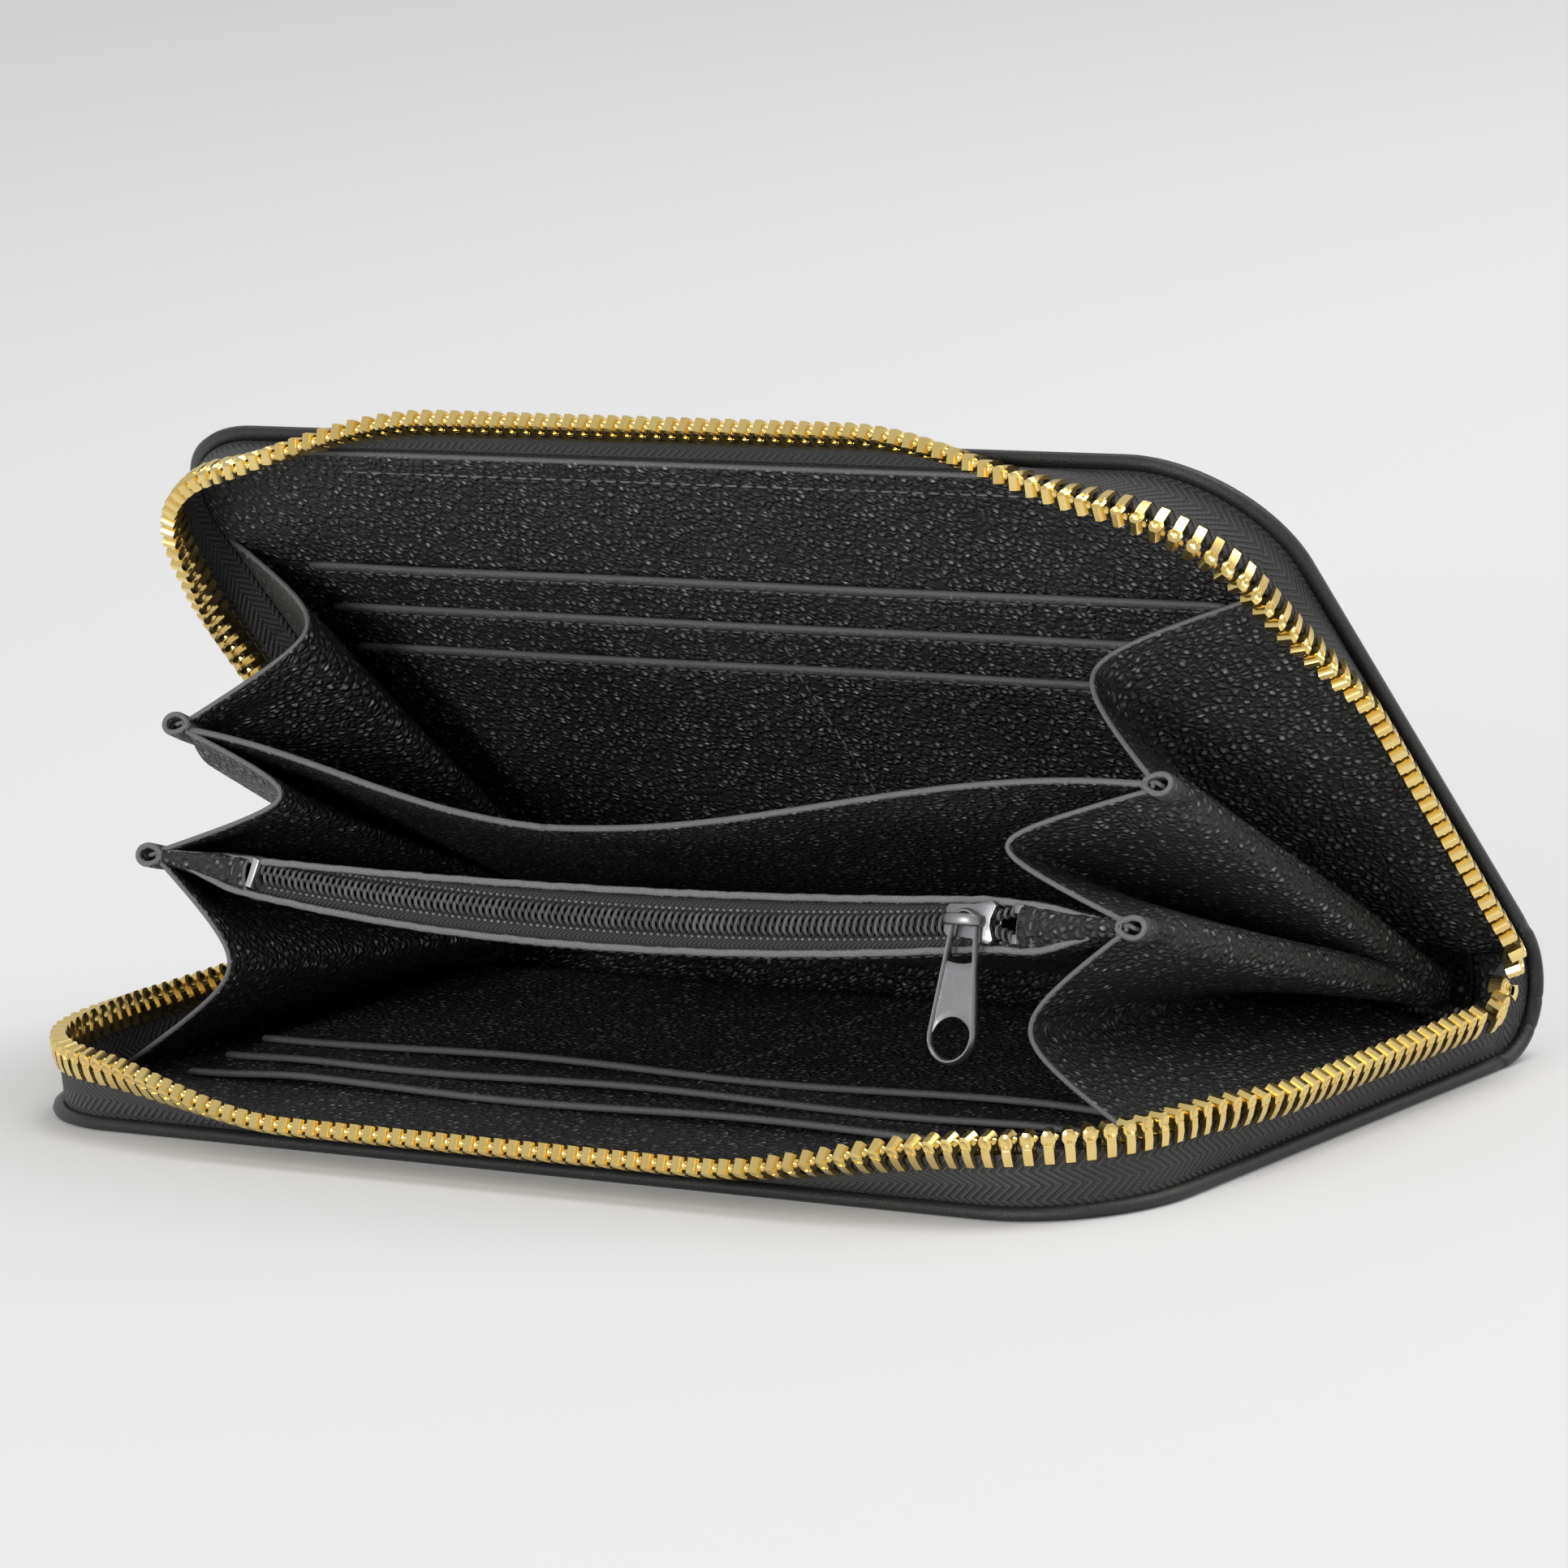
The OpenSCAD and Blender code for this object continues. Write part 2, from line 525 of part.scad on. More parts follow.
// the main slider's frame at the left end of the spine: Z outwards, X towards the front
module on_main_slider() on_ends() translate([-tape_x, -slider_start - slider_l / 2, 0])
    rotate([0, -90, 0]) rotate([0, 0, -90]) children();

module main_zip_slider() color(brass) on_main_slider()
    slider(slider_l, main_plate_w, main_plate_t, main_face_x, main_face_x, 1.4, main_arch_r, main_arch_h);
module main_zip_pull() color(brass) on_main_slider()
    translate([0, 0, main_side_x + pull_t / 2 + 2 * slip]) hooked_pull(main_pull_l, main_pull_w, pull_t);

// block that joins the two tapes at the right end of the spine
module zip_bottom_stop() color(brass) on_ends()
    translate([tape_x - tooth_w / 2, -3.4, -1.1]) cube([tooth_w, 2.6, 2.2]);

lower_outer_leather();
lower_stiffener_board();
lower_lining_panel();
lower_slip_pocket();
lower_card_pocket_rear();
lower_card_pocket_front();
lower_zip_tape();
lower_zip_teeth();
lower_top_stop();
lower_front_zip_tape();
lower_front_zip_teeth();
lower_left_zip_tape();
lower_left_zip_teeth();
lower_right_zip_tape();
lower_right_zip_teeth();
upper_outer_leather();
upper_stiffener_board();
upper_lining_panel();
upper_slip_pocket();
upper_card_pocket_rear();
upper_card_pocket_front();
upper_zip_tape();
upper_zip_teeth();
upper_top_stop();
upper_front_zip_tape();
upper_front_zip_teeth();
upper_left_zip_tape();
upper_left_zip_teeth();
upper_right_zip_tape();
upper_right_zip_teeth();
spine_outer_leather();
spine_lining();
left_gusset_lower_bay();
left_gusset_middle_bay();
left_gusset_upper_bay();
right_gusset_lower_bay();
right_gusset_middle_bay();
right_gusset_upper_bay();
coin_pocket_left_fold();
coin_pocket_right_fold();
divider_left_fold();
divider_right_fold();
divider_lower_leather();
divider_upper_leather();
coin_pocket_lower_panel();
coin_pocket_upper_panel();
coin_pocket_left_tab();
coin_pocket_right_tab();
coin_zip_lower_tape();
coin_zip_upper_tape();
coin_zip_lower_coil();
coin_zip_upper_coil();
coin_zip_bottom_stop();
coin_zip_top_stops();
coin_zip_slider();
coin_zip_pull();
zip_bottom_stop();
main_zip_slider();
main_zip_pull();
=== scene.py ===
"""Looks of a zip around wallet that stands open on its lower cover.

Lengths are millimetres in the hinge frame until at() turns them into metres in the row frame.
The hinge frame is the closed wallet's: x along the spine, d from the hinge line towards the zip,
z up. Each body is turned about the hinge line to the angle at which it stands.
"""
import json
import math

import bpy
import numpy as np
from mathutils import Matrix, Vector


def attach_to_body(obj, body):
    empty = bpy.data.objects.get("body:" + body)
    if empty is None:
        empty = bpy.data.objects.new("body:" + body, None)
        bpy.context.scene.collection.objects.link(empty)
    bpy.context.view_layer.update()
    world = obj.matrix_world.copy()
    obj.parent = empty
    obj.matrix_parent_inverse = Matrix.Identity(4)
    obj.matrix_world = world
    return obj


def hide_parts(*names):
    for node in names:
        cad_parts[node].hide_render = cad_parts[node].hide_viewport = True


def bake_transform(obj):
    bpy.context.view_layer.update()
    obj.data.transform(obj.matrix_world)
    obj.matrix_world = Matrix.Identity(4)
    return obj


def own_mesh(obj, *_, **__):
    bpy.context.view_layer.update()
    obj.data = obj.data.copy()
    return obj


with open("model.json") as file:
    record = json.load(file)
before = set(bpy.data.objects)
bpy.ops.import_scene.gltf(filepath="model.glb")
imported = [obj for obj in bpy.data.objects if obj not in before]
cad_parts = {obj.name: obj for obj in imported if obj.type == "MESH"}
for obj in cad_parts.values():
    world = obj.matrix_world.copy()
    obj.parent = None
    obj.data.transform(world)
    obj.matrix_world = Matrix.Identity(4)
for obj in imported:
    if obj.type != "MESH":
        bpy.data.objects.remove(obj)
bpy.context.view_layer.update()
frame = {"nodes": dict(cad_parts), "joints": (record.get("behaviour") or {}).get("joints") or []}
JOINTS = {joint["name"]: joint for joint in frame["joints"]}
MM = 0.001

# ---------------------------------------------------------------- driving sizes, from the frame

HINGE = np.array(JOINTS["upper_cover_fold"]["pos_m"])


def travel(name):
    """Whole degrees that a fold turns through from rest to shut."""
    return -round(JOINTS[name]["range_deg"][0])


COIN = travel("coin_pocket_fold")
DIVIDER = COIN + travel("centre_divider_fold")
OPEN = DIVIDER + travel("upper_cover_fold")
HALF_OPEN = OPEN / 2


def at(angle, x, d, z):
    """Row-frame points, in metres, of a body that stands open at angle."""
    a = np.radians(angle)
    x, d, z = np.broadcast_arrays(np.asarray(x, float), d, z)
    y = -d * np.cos(a) + z * np.sin(a)
    up = d * np.sin(a) + z * np.cos(a)
    return np.stack([x, y, up], -1) * MM + HINGE


def closed_points(points, angle):
    """(x, d, z) in millimetres, in the body's own frame, of row-frame points."""
    a = math.radians(angle)
    x, y, up = np.moveaxis((np.asarray(points, float) - HINGE) / MM, -1, 0)
    return np.stack([x, -y * math.cos(a) + up * math.sin(a), y * math.sin(a) + up * math.cos(a)], -1)


def closed_box(node, angle):
    """Lowest and highest (x, d, z) of a CAD node in its body's own frame."""
    points = closed_points([v.co for v in frame["nodes"][node].data.vertices], angle)
    return points.min(0), points.max(0)


LEATHER_BOX = closed_box("lower_outer_leather", 0)
HALF_L = LEATHER_BOX[1][0]                      # half the length along the spine
COVER_D = LEATHER_BOX[1][1]                     # depth of a cover
HALF_T = -LEATHER_BOX[0][2]                     # half the closed thickness
OUTER_T = LEATHER_BOX[1][2] - LEATHER_BOX[0][2]
LINING_BOX = closed_box("lower_lining_panel", 0)
LINING_Z = LINING_BOX[0][2]
LINING_T = LINING_BOX[1][2] - LINING_Z
INNER_D = closed_box("divider_lower_leather", DIVIDER)[1][1]
DIVIDER_BOX = [closed_box(n, DIVIDER) for n in ("divider_lower_leather", "divider_upper_leather")]
DIVIDER_Z = DIVIDER_BOX[0][1][2]
FOLD_BOX = closed_box("coin_pocket_right_fold", COIN)
FOLD_X = (FOLD_BOX[0][0] + FOLD_BOX[1][0]) / 2
FOLD_R = (FOLD_BOX[1][0] - FOLD_BOX[0][0]) / 2
COIN_Z = (FOLD_BOX[0][2] + FOLD_BOX[1][2]) / 2
PIVOT = closed_points([JOINTS["lower_left_zip_lean"]["pos_m"]], 0)[0]
TAPE_X = -PIVOT[0]
PIVOT_Z = PIVOT[2]
TAPE_D = closed_points([JOINTS["lower_zip_front_lean"]["pos_m"]], 0)[0][1]
COVER_CORNER = 20                               # corner radius of a cover's outline
TAPE_CORNER = COVER_CORNER - (HALF_L - TAPE_X)
TOOTH_PITCH = 2.5                               # distance from tooth to tooth along a row
TAPE_TOP = -2.4                                 # height at which the tape ends in the teeth
TAPE_H = TAPE_TOP - PIVOT_Z                     # height of the tape above its foot
TAPE_T = 0.5
GUSSET_T = 0.8

COVERS = {
    "lower": {"angle": 0, "up": 1, "fold": 0, "pocket_lift": 0.8},
    "upper": {"angle": OPEN, "up": -1, "fold": 1, "pocket_lift": 0.15},
}


def ease(t):
    t = np.clip(t, 0, 1)
    return t * t * (3 - 2 * t)


# ---------------------------------------------------------------- shader trees

def set_inputs(tree, node, values):
    """Each input set to a value, or linked to a socket."""
    for key, value in values.items():
        if isinstance(value, bpy.types.NodeSocket):
            tree.links.new(value, node.inputs[key])
        else:
            node.inputs[key].default_value = value


def add(tree, kind, inputs=None, **settings):
    """A node with its settings and its inputs."""
    node = tree.nodes.new(kind)
    for key, value in settings.items():
        setattr(node, key, value)
    set_inputs(tree, node, inputs or {})
    return node


def calc(tree, operation, *values):
    return add(tree, "ShaderNodeMath", dict(enumerate(values)), operation=operation).outputs[0]


def blend_colour(tree, share, first, second):
    node = add(tree, "ShaderNodeMix", data_type="RGBA")
    set_inputs(tree, node, {0: share, 6: first, 7: second})
    return node.outputs[2]


def spread(tree, value, low, high, to_low=0.0, to_high=1.0, smooth=False):
    """value taken from low..high to to_low..to_high."""
    return add(tree, "ShaderNodeMapRange", {0: value, 1: low, 2: high, 3: to_low, 4: to_high},
               interpolation_type="SMOOTHSTEP" if smooth else "LINEAR").outputs[0]


def grey(value):
    return (value, value, value, 1)


def group(name, inputs, outputs):
    """A shader node group with named sockets, and its input and output nodes."""
    tree = bpy.data.node_groups.new(name, "ShaderNodeTree")
    for label, kind, default in inputs:
        socket = tree.interface.new_socket(label, in_out="INPUT", socket_type="NodeSocket" + kind)
        if default is not None:
            socket.default_value = default
    for label, kind in outputs:
        tree.interface.new_socket(label, in_out="OUTPUT", socket_type="NodeSocket" + kind)
    return tree, tree.nodes.new("NodeGroupInput").outputs, tree.nodes.new("NodeGroupOutput").inputs


def put(tree, name, inputs):
    """The group called name, placed in a tree."""
    node = tree.nodes.new("ShaderNodeGroup")
    node.node_tree = bpy.data.node_groups[name]
    set_inputs(tree, node, inputs)
    return node.outputs


def make_pebble_group():
    """Pebbled grain: rounded pebbles of one cell size with creases between and a fine skin on top. Its
    crease mask carries painted shade, and its bright specks near the pebbles' middles are painted
    highlights, both used in leather().
    """
    tree, inp, out = group("pebble grain", [("Vector", "Vector", None), ("Cell", "Float", 0.001)],
                           [("Height", "Float"), ("Crease", "Float"), ("Pebble tone", "Float"),
                            ("Glint", "Float")])
    scale = calc(tree, "DIVIDE", 1.0, inp["Cell"])
    bend = add(tree, "ShaderNodeTexNoise", {"Vector": inp["Vector"], "Scale": 330.0, "Detail": 2.0})
    shift = add(tree, "ShaderNodeVectorMath", {0: bend.outputs["Color"], 1: (0.5, 0.5, 0.5)},
                operation="SUBTRACT").outputs[0]
    shift = add(tree, "ShaderNodeVectorMath", {0: shift, "Scale": 0.0011}, operation="SCALE").outputs[0]
    place = add(tree, "ShaderNodeVectorMath", {0: inp["Vector"], 1: shift}).outputs[0]
    edge = add(tree, "ShaderNodeTexVoronoi", {"Vector": place, "Scale": scale, "Randomness": 0.85},
               feature="DISTANCE_TO_EDGE").outputs["Distance"]
    cell = add(tree, "ShaderNodeTexVoronoi", {"Vector": place, "Scale": scale, "Randomness": 0.85})
    tone = add(tree, "ShaderNodeSeparateColor", {0: cell.outputs["Color"]}).outputs[0]
    dome = spread(tree, edge, 0.0, 0.34, smooth=True)
    rise = calc(tree, "MULTIPLY", dome, spread(tree, tone, 0.0, 1.0, 0.55, 1.0))
    fine = add(tree, "ShaderNodeTexNoise", {"Vector": inp["Vector"], "Scale": 5200.0, "Detail": 3.0,
                                            "Roughness": 0.6}).outputs[0]
    tree.links.new(calc(tree, "MULTIPLY_ADD", fine, 0.16, rise), out["Height"])
    # Crease mask: where the pebbles meet; leather() darkens it as painted shade and makes it rougher.
    tree.links.new(spread(tree, edge, 0.0, 0.14, 1.0, 0.0, smooth=True), out["Crease"])
    tree.links.new(tone, out["Pebble tone"])
    # Bright specks near the pebbles' middles: painted highlights.
    middle = spread(tree, cell.outputs["Distance"], 0.08, 0.42, 1.0, 0.0, smooth=True)
    broken = spread(tree, fine, 0.38, 0.54, 0.0, 1.0)
    tree.links.new(calc(tree, "MULTIPLY", calc(tree, "MULTIPLY", middle, broken),
                        spread(tree, tone, 0.2, 0.8, 0.0, 1.0)), out["Glint"])


def make_wear_group():
    """Soft patches of handling that vary the shine and the tone."""
    tree, inp, out = group("handling wear", [("Vector", "Vector", None), ("Size", "Float", 0.02)],
                           [("Patch", "Float"), ("Fine", "Float")])
    scale = calc(tree, "DIVIDE", 1.0, inp["Size"])
    broad = add(tree, "ShaderNodeTexNoise", {"Vector": inp["Vector"], "Scale": scale, "Detail": 3.0})
    fine = add(tree, "ShaderNodeTexNoise", {"Vector": inp["Vector"], "Scale": 2600.0, "Detail": 4.0,
                                            "Roughness": 0.65})
    tree.links.new(spread(tree, broad.outputs[0], 0.35, 0.65), out["Patch"])
    tree.links.new(fine.outputs[0], out["Fine"])


def make_herringbone_group():
    """Herringbone weave on a UV in metres: strips along U, ribs slanting one way and then the other. The
    valley mask between the ribs carries painted shade in cloth().
    """
    tree, inp, out = group("herringbone weave",
                           [("Vector", "Vector", None), ("Strip", "Float", 0.0012),
                            ("Rib", "Float", 0.0005), ("Slope", "Float", 1.3)],
                           [("Height", "Float"), ("Valley", "Float")])
    uv = add(tree, "ShaderNodeSeparateXYZ", {0: inp["Vector"]}).outputs
    across = calc(tree, "DIVIDE", uv[1], inp["Strip"])
    zigzag = calc(tree, "MULTIPLY", calc(tree, "PINGPONG", across, 1.0), inp["Strip"])
    phase = calc(tree, "MULTIPLY_ADD", zigzag, inp["Slope"], uv[0])
    turn = calc(tree, "MULTIPLY", calc(tree, "DIVIDE", phase, inp["Rib"]), 2 * math.pi)
    rib = spread(tree, calc(tree, "SINE", turn), -0.75, 0.8, smooth=True)
    beads = calc(tree, "SINE", calc(tree, "MULTIPLY", calc(tree, "DIVIDE", uv[1], 0.00032), 2 * math.pi))
    height = calc(tree, "MULTIPLY_ADD", calc(tree, "MULTIPLY", beads, rib), 0.16, rib)
    tree.links.new(height, out["Height"])
    tree.links.new(calc(tree, "SUBTRACT", 1.0, rib), out["Valley"])


def new_material(name):
    material = bpy.data.materials.new(name)
    material.use_nodes = True
    tree = material.node_tree
    tree.nodes.clear()
    shader = add(tree, "ShaderNodeBsdfPrincipled")
    output = add(tree, "ShaderNodeOutputMaterial")
    tree.links.new(shader.outputs[0], output.inputs[0])
    return material, tree, shader


def bump(tree, height, distance, **below):
    return add(tree, "ShaderNodeBump", {"Height": height, "Distance": distance, "Strength": 1.0,
                                        **below}).outputs[0]


def object_place(tree):
    return add(tree, "ShaderNodeTexCoord").outputs["Object"]


def edge_share(tree):
    return add(tree, "ShaderNodeAttribute", attribute_name="edge").outputs["Fac"]


def leather(name, tone, edge_tone_and_highlight, cell=0.0012, depth=0.0005, rough=0.4, edge_rough=0.5,
            edge_depth=0.00005, painted_highlight_tone=0.42):
    """Pebbled leather that turns into its edge colour where the edge mask says so: black edge paint on the
    outer leather, a grey raw cut edge on the raw edged leather, and on the lining and pocket leathers a
    lighter grey that is a painted highlight along rolled and folded edges. The pebbles' creases carry
    painted shade and their bright specks are painted highlights.
    """
    material, tree, shader = new_material(name)
    place = object_place(tree)
    grain = put(tree, "pebble grain", {"Vector": place, "Cell": cell})
    wear = put(tree, "handling wear", {"Vector": place, "Size": 0.025})
    edge = edge_share(tree)
    # Painted shade: the creases between the pebbles darkened.
    face = blend_colour(tree, grain["Crease"], grey(tone), grey(tone * 0.3))
    face = blend_colour(tree, calc(tree, "MULTIPLY", wear["Patch"], 0.35), face, grey(tone * 1.6))
    # Painted highlight: bright specks mixed into the colour; they also lower the roughness below.
    face = blend_colour(tree, grain["Glint"], face, grey(painted_highlight_tone))
    # Edge colour: the leather's own edge colour, and on the lining and pocket leathers a lighter grey that
    # is a painted highlight.
    rim = blend_colour(tree, wear["Fine"], grey(edge_tone_and_highlight * 0.6), grey(edge_tone_and_highlight * 1.4))
    smooth_face = calc(tree, "SUBTRACT", 1.0, edge)
    shine = calc(tree, "MULTIPLY_ADD", grain["Glint"], -0.22, rough)
    shine = calc(tree, "MULTIPLY_ADD", grain["Crease"], 0.25, shine)
    shine = calc(tree, "MULTIPLY_ADD", wear["Patch"], 0.06, shine)
    rough_now = calc(tree, "ADD", calc(tree, "MULTIPLY", shine, smooth_face),
                     calc(tree, "MULTIPLY", edge, edge_rough))
    height = calc(tree, "MULTIPLY", grain["Height"], smooth_face)
    grained = bump(tree, height, depth)
    set_inputs(tree, shader, {
        "Base Color": blend_colour(tree, edge, face, rim),
        "Roughness": rough_now,
        "Specular IOR Level": 0.5,
        "Normal": bump(tree, calc(tree, "MULTIPLY", wear["Fine"], edge), edge_depth * 3, Normal=grained)})
    return material


def cloth(name, tone, strip, rib, sheen):
    """Woven zip tape, with painted shade in the dips between its ribs."""
    material, tree, shader = new_material(name)
    uv = add(tree, "ShaderNodeUVMap", uv_map="weave").outputs[0]
    weave = put(tree, "herringbone weave", {"Vector": uv, "Strip": strip, "Rib": rib})
    wear = put(tree, "handling wear", {"Vector": object_place(tree), "Size": 0.012})
    # Painted shade: the dips between the ribs darkened.
    colour = blend_colour(tree, weave["Valley"], grey(tone), grey(tone * 0.18))
    colour = blend_colour(tree, calc(tree, "MULTIPLY", wear["Fine"], 0.5), colour, grey(tone * 1.5))
    set_inputs(tree, shader, {
        "Base Color": colour, "Roughness": 0.7, "Sheen Weight": sheen, "Sheen Roughness": 0.5,
        "Specular IOR Level": 0.35,
        "Normal": bump(tree, weave["Height"], 0.0004)})
    return material


def metal(name, colour, dark, rough, grain_depth, brushed=False):
    """Plated metal with faint handling marks."""
    material, tree, shader = new_material(name)
    place = object_place(tree)
    wear = put(tree, "handling wear", {"Vector": place, "Size": 0.006})
    tint = blend_colour(tree, calc(tree, "MULTIPLY", wear["Patch"], 0.5), colour, dark)
    fine = wear["Fine"]
    if brushed:
        stretched = add(tree, "ShaderNodeMapping", {"Vector": place, "Scale": (1, 0.15, 0.15)}).outputs[0]
        fine = add(tree, "ShaderNodeTexNoise", {"Vector": stretched, "Scale": 9000.0,
                                                "Detail": 2.0}).outputs[0]
    set_inputs(tree, shader, {
        "Base Color": tint, "Metallic": 1.0,
        "Roughness": calc(tree, "MULTIPLY_ADD", wear["Patch"], 0.1, rough),
        "Normal": bump(tree, fine, grain_depth)})
    return material


def plain(name, tone, rough, depth):
    """Thread, filament, board and such: a tone that varies a little, with a fine surface."""
    material, tree, shader = new_material(name)
    wear = put(tree, "handling wear", {"Vector": object_place(tree), "Size": 0.004})
    set_inputs(tree, shader, {
        "Base Color": blend_colour(tree, wear["Patch"], grey(tone), grey(tone * 1.6)),
        "Roughness": rough,
        "Normal": bump(tree, wear["Fine"], depth)})
    return material


make_pebble_group()
make_wear_group()
make_herringbone_group()
MATERIALS = {
    # Edge tones: the outer leather's black edge paint and the raw edged leather's grey cut edge are their
    # own colours; the lighter edges of the lining and pocket leathers are painted highlights.
    "outer leather": leather("outer leather", 0.018, 0.016, edge_rough=0.36, painted_highlight_tone=0.1),
    "lining leather": leather("lining leather", 0.022, 0.15),
    "pocket leather": leather("pocket leather", 0.022, 0.1),
    # A darker copy of the lining leather for the inside of the spine: painted shade.
    "spine lining leather": leather("spine lining leather", 0.012, 0.02),
    "raw edged leather": leather("raw edged leather", 0.022, 0.24, edge_rough=0.85, edge_depth=0.00016),
    "main zip cloth": cloth("main zip cloth", 0.06, 0.002, 0.0013, 0.1),
    "coin zip cloth": cloth("coin zip cloth", 0.05, 0.0015, 0.0008, 0.1),
    "brass": metal("brass", (0.95, 0.74, 0.3, 1), (0.8, 0.55, 0.16, 1), 0.17, 0.00001),
    "coil": plain("coil", 0.1, 0.18, 0.00001),
    "gunmetal": metal("gunmetal", (0.36, 0.36, 0.37, 1), (0.28, 0.28, 0.29, 1), 0.32, 0.00002,
                      brushed=True),
    "bright steel": metal("bright steel", (0.82, 0.82, 0.82, 1), (0.6, 0.6, 0.61, 1), 0.2, 0.00001),
    "thread": plain("thread", 0.12, 0.5, 0.00004),
    "light thread": plain("light thread", 0.2, 0.5, 0.00003),
    "board": plain("board", 0.28, 0.9, 0.00005),
}

# ---------------------------------------------------------------- meshes

def linked(name, data):
    """A new object of the scene."""
    piece = bpy.data.objects.new(name, data)
    bpy.context.scene.collection.objects.link(piece)
    return piece


def mesh_object(name, points, faces, material, edge=None, uv=None, smooth=True):
    """A linked mesh object, with an edge mask for each point and a UV in metres for each point."""
    mesh = bpy.data.meshes.new(name)
    mesh.from_pydata([tuple(p) for p in np.asarray(points, float)], [], [tuple(f) for f in faces])
    mesh.polygons.foreach_set("use_smooth", [smooth] * len(mesh.polygons))
    mesh.materials.append(MATERIALS[material])
    if edge is not None:
        mask = mesh.attributes.new("edge", "FLOAT", "POINT")
        mask.data.foreach_set("value", np.asarray(edge, np.float32))
    if uv is not None:
        corners = np.zeros(len(mesh.loops), np.int32)
        mesh.loops.foreach_get("vertex_index", corners)
        mesh.uv_layers.new(name="weave").data.foreach_set("uv", np.asarray(uv)[corners].ravel())
    mesh.update()
    return linked(name, mesh)


def unit(v):
    return v / np.maximum(np.linalg.norm(v, axis=-1, keepdims=True), 1e-12)


RIM_STEPS = 4                                   # faces round the rim of a sheet


def sheet_shell(grid, thickness):
    """Points, faces, edge mask and UV of a sheet with a round rim. grid is its middle surface, [u][v],
    in metres, and its top is on the side of u x v. thickness may differ from point to point."""
    grid = np.asarray(grid, float)
    nu, nv = grid.shape[:2]
    half = np.broadcast_to(np.asarray(thickness, float) * MM / 2, (nu, nv))[..., None]
    normal = unit(np.cross(np.gradient(grid, axis=0), np.gradient(grid, axis=1)))
    top, low = grid + normal * half, grid - normal * half
    border = ([(i, 0) for i in range(nu)] + [(nu - 1, j) for j in range(1, nv)]
              + [(i, nv - 1) for i in range(nu - 2, -1, -1)] + [(0, j) for j in range(nv - 2, 0, -1)])
    b = np.array(border)
    spots, up, radius = grid[b[:, 0], b[:, 1]], normal[b[:, 0], b[:, 1]], half[b[:, 0], b[:, 1]]
    ahead = unit(np.roll(spots, -1, 0) - spots)
    out = unit(np.cross(unit(ahead + np.roll(ahead, 1, 0)), up))
    rims = []
    for step in range(1, RIM_STEPS):
        a = math.pi / 2 - math.pi * step / RIM_STEPS
        rims.append(spots + radius * (out * math.cos(a) + up * math.sin(a)))
    count = nu * nv
    points = np.concatenate([top.reshape(-1, 3), low.reshape(-1, 3)] + rims)
    cell = lambda i, j: i * nv + j
    faces = [(cell(i, j), cell(i + 1, j), cell(i + 1, j + 1), cell(i, j + 1))
             for i in range(nu - 1) for j in range(nv - 1)]
    faces += [tuple(count + k for k in reversed(f)) for f in faces]
    n = len(border)
    loops = [[cell(i, j) for i, j in border]]
    loops += [[2 * count + k * n + m for m in range(n)] for k in range(RIM_STEPS - 1)]
    loops += [[count + cell(i, j) for i, j in border]]
    for upper, lower in zip(loops, loops[1:]):
        faces += [(upper[m], lower[m], lower[(m + 1) % n], upper[(m + 1) % n]) for m in range(n)]
    edge = np.concatenate([np.zeros(2 * count), np.ones(n * (RIM_STEPS - 1))])
    u = np.concatenate([np.zeros((1, nv)), np.cumsum(np.linalg.norm(np.diff(grid, axis=0), axis=2), 0)])
    v = np.concatenate([np.zeros((nu, 1)), np.cumsum(np.linalg.norm(np.diff(grid, axis=1), axis=2), 1)], 1)
    flat = np.stack([u, v], -1)
    uv = np.concatenate([flat.reshape(-1, 2)] * 2 + [flat[b[:, 0], b[:, 1]]] * (RIM_STEPS - 1))
    return points, faces, edge, uv


def facing(grid, turned):
    """grid, with its two faces changed over where turned."""
    return grid[:, ::-1] if turned else grid


def sheet_piece(name, grid, thickness, material, face_edge=None):
    """A sheet with a round rim. face_edge masks points of both faces as edge too."""
    points, faces, edge, uv = sheet_shell(grid, thickness)
    if face_edge is not None:
        count = grid.shape[0] * grid.shape[1]
        mask = np.broadcast_to(face_edge, grid.shape[:2]).ravel()
        edge[:count] = np.maximum(edge[:count], mask)
        edge[count:2 * count] = np.maximum(edge[count:2 * count], mask)
    return mesh_object(name, points, faces, material, edge, uv)


def finish_piece(piece, slot, *nodes):
    if nodes:
        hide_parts(*nodes)
    return piece


def bevelled(piece, width, segments=2):
    """piece with its sharp edges rounded, as a plain mesh."""
    modifier = piece.modifiers.new("round", "BEVEL")
    modifier.width = width * MM
    modifier.segments = segments
    modifier.limit_method = "ANGLE"
    modifier.angle_limit = math.radians(35)
    return as_mesh(piece)


SHARP_FROM = 38                                 # degrees between faces that make an edge sharp


def as_mesh(piece):
    """piece with its modifiers taken into a plain mesh."""
    bpy.context.view_layer.update()
    graph = bpy.context.evaluated_depsgraph_get()
    mesh = bpy.data.meshes.new_from_object(piece.evaluated_get(graph), preserve_all_data_layers=True,
                                           depsgraph=graph)
    piece.modifiers.clear()
    piece.data = mesh
    mesh.name = piece.name
    mesh.polygons.foreach_set("use_smooth", [True] * len(mesh.polygons))
    mesh.set_sharp_from_angle(angle=math.radians(SHARP_FROM))
    return piece


# ---------------------------------------------------------------- geometry node trees

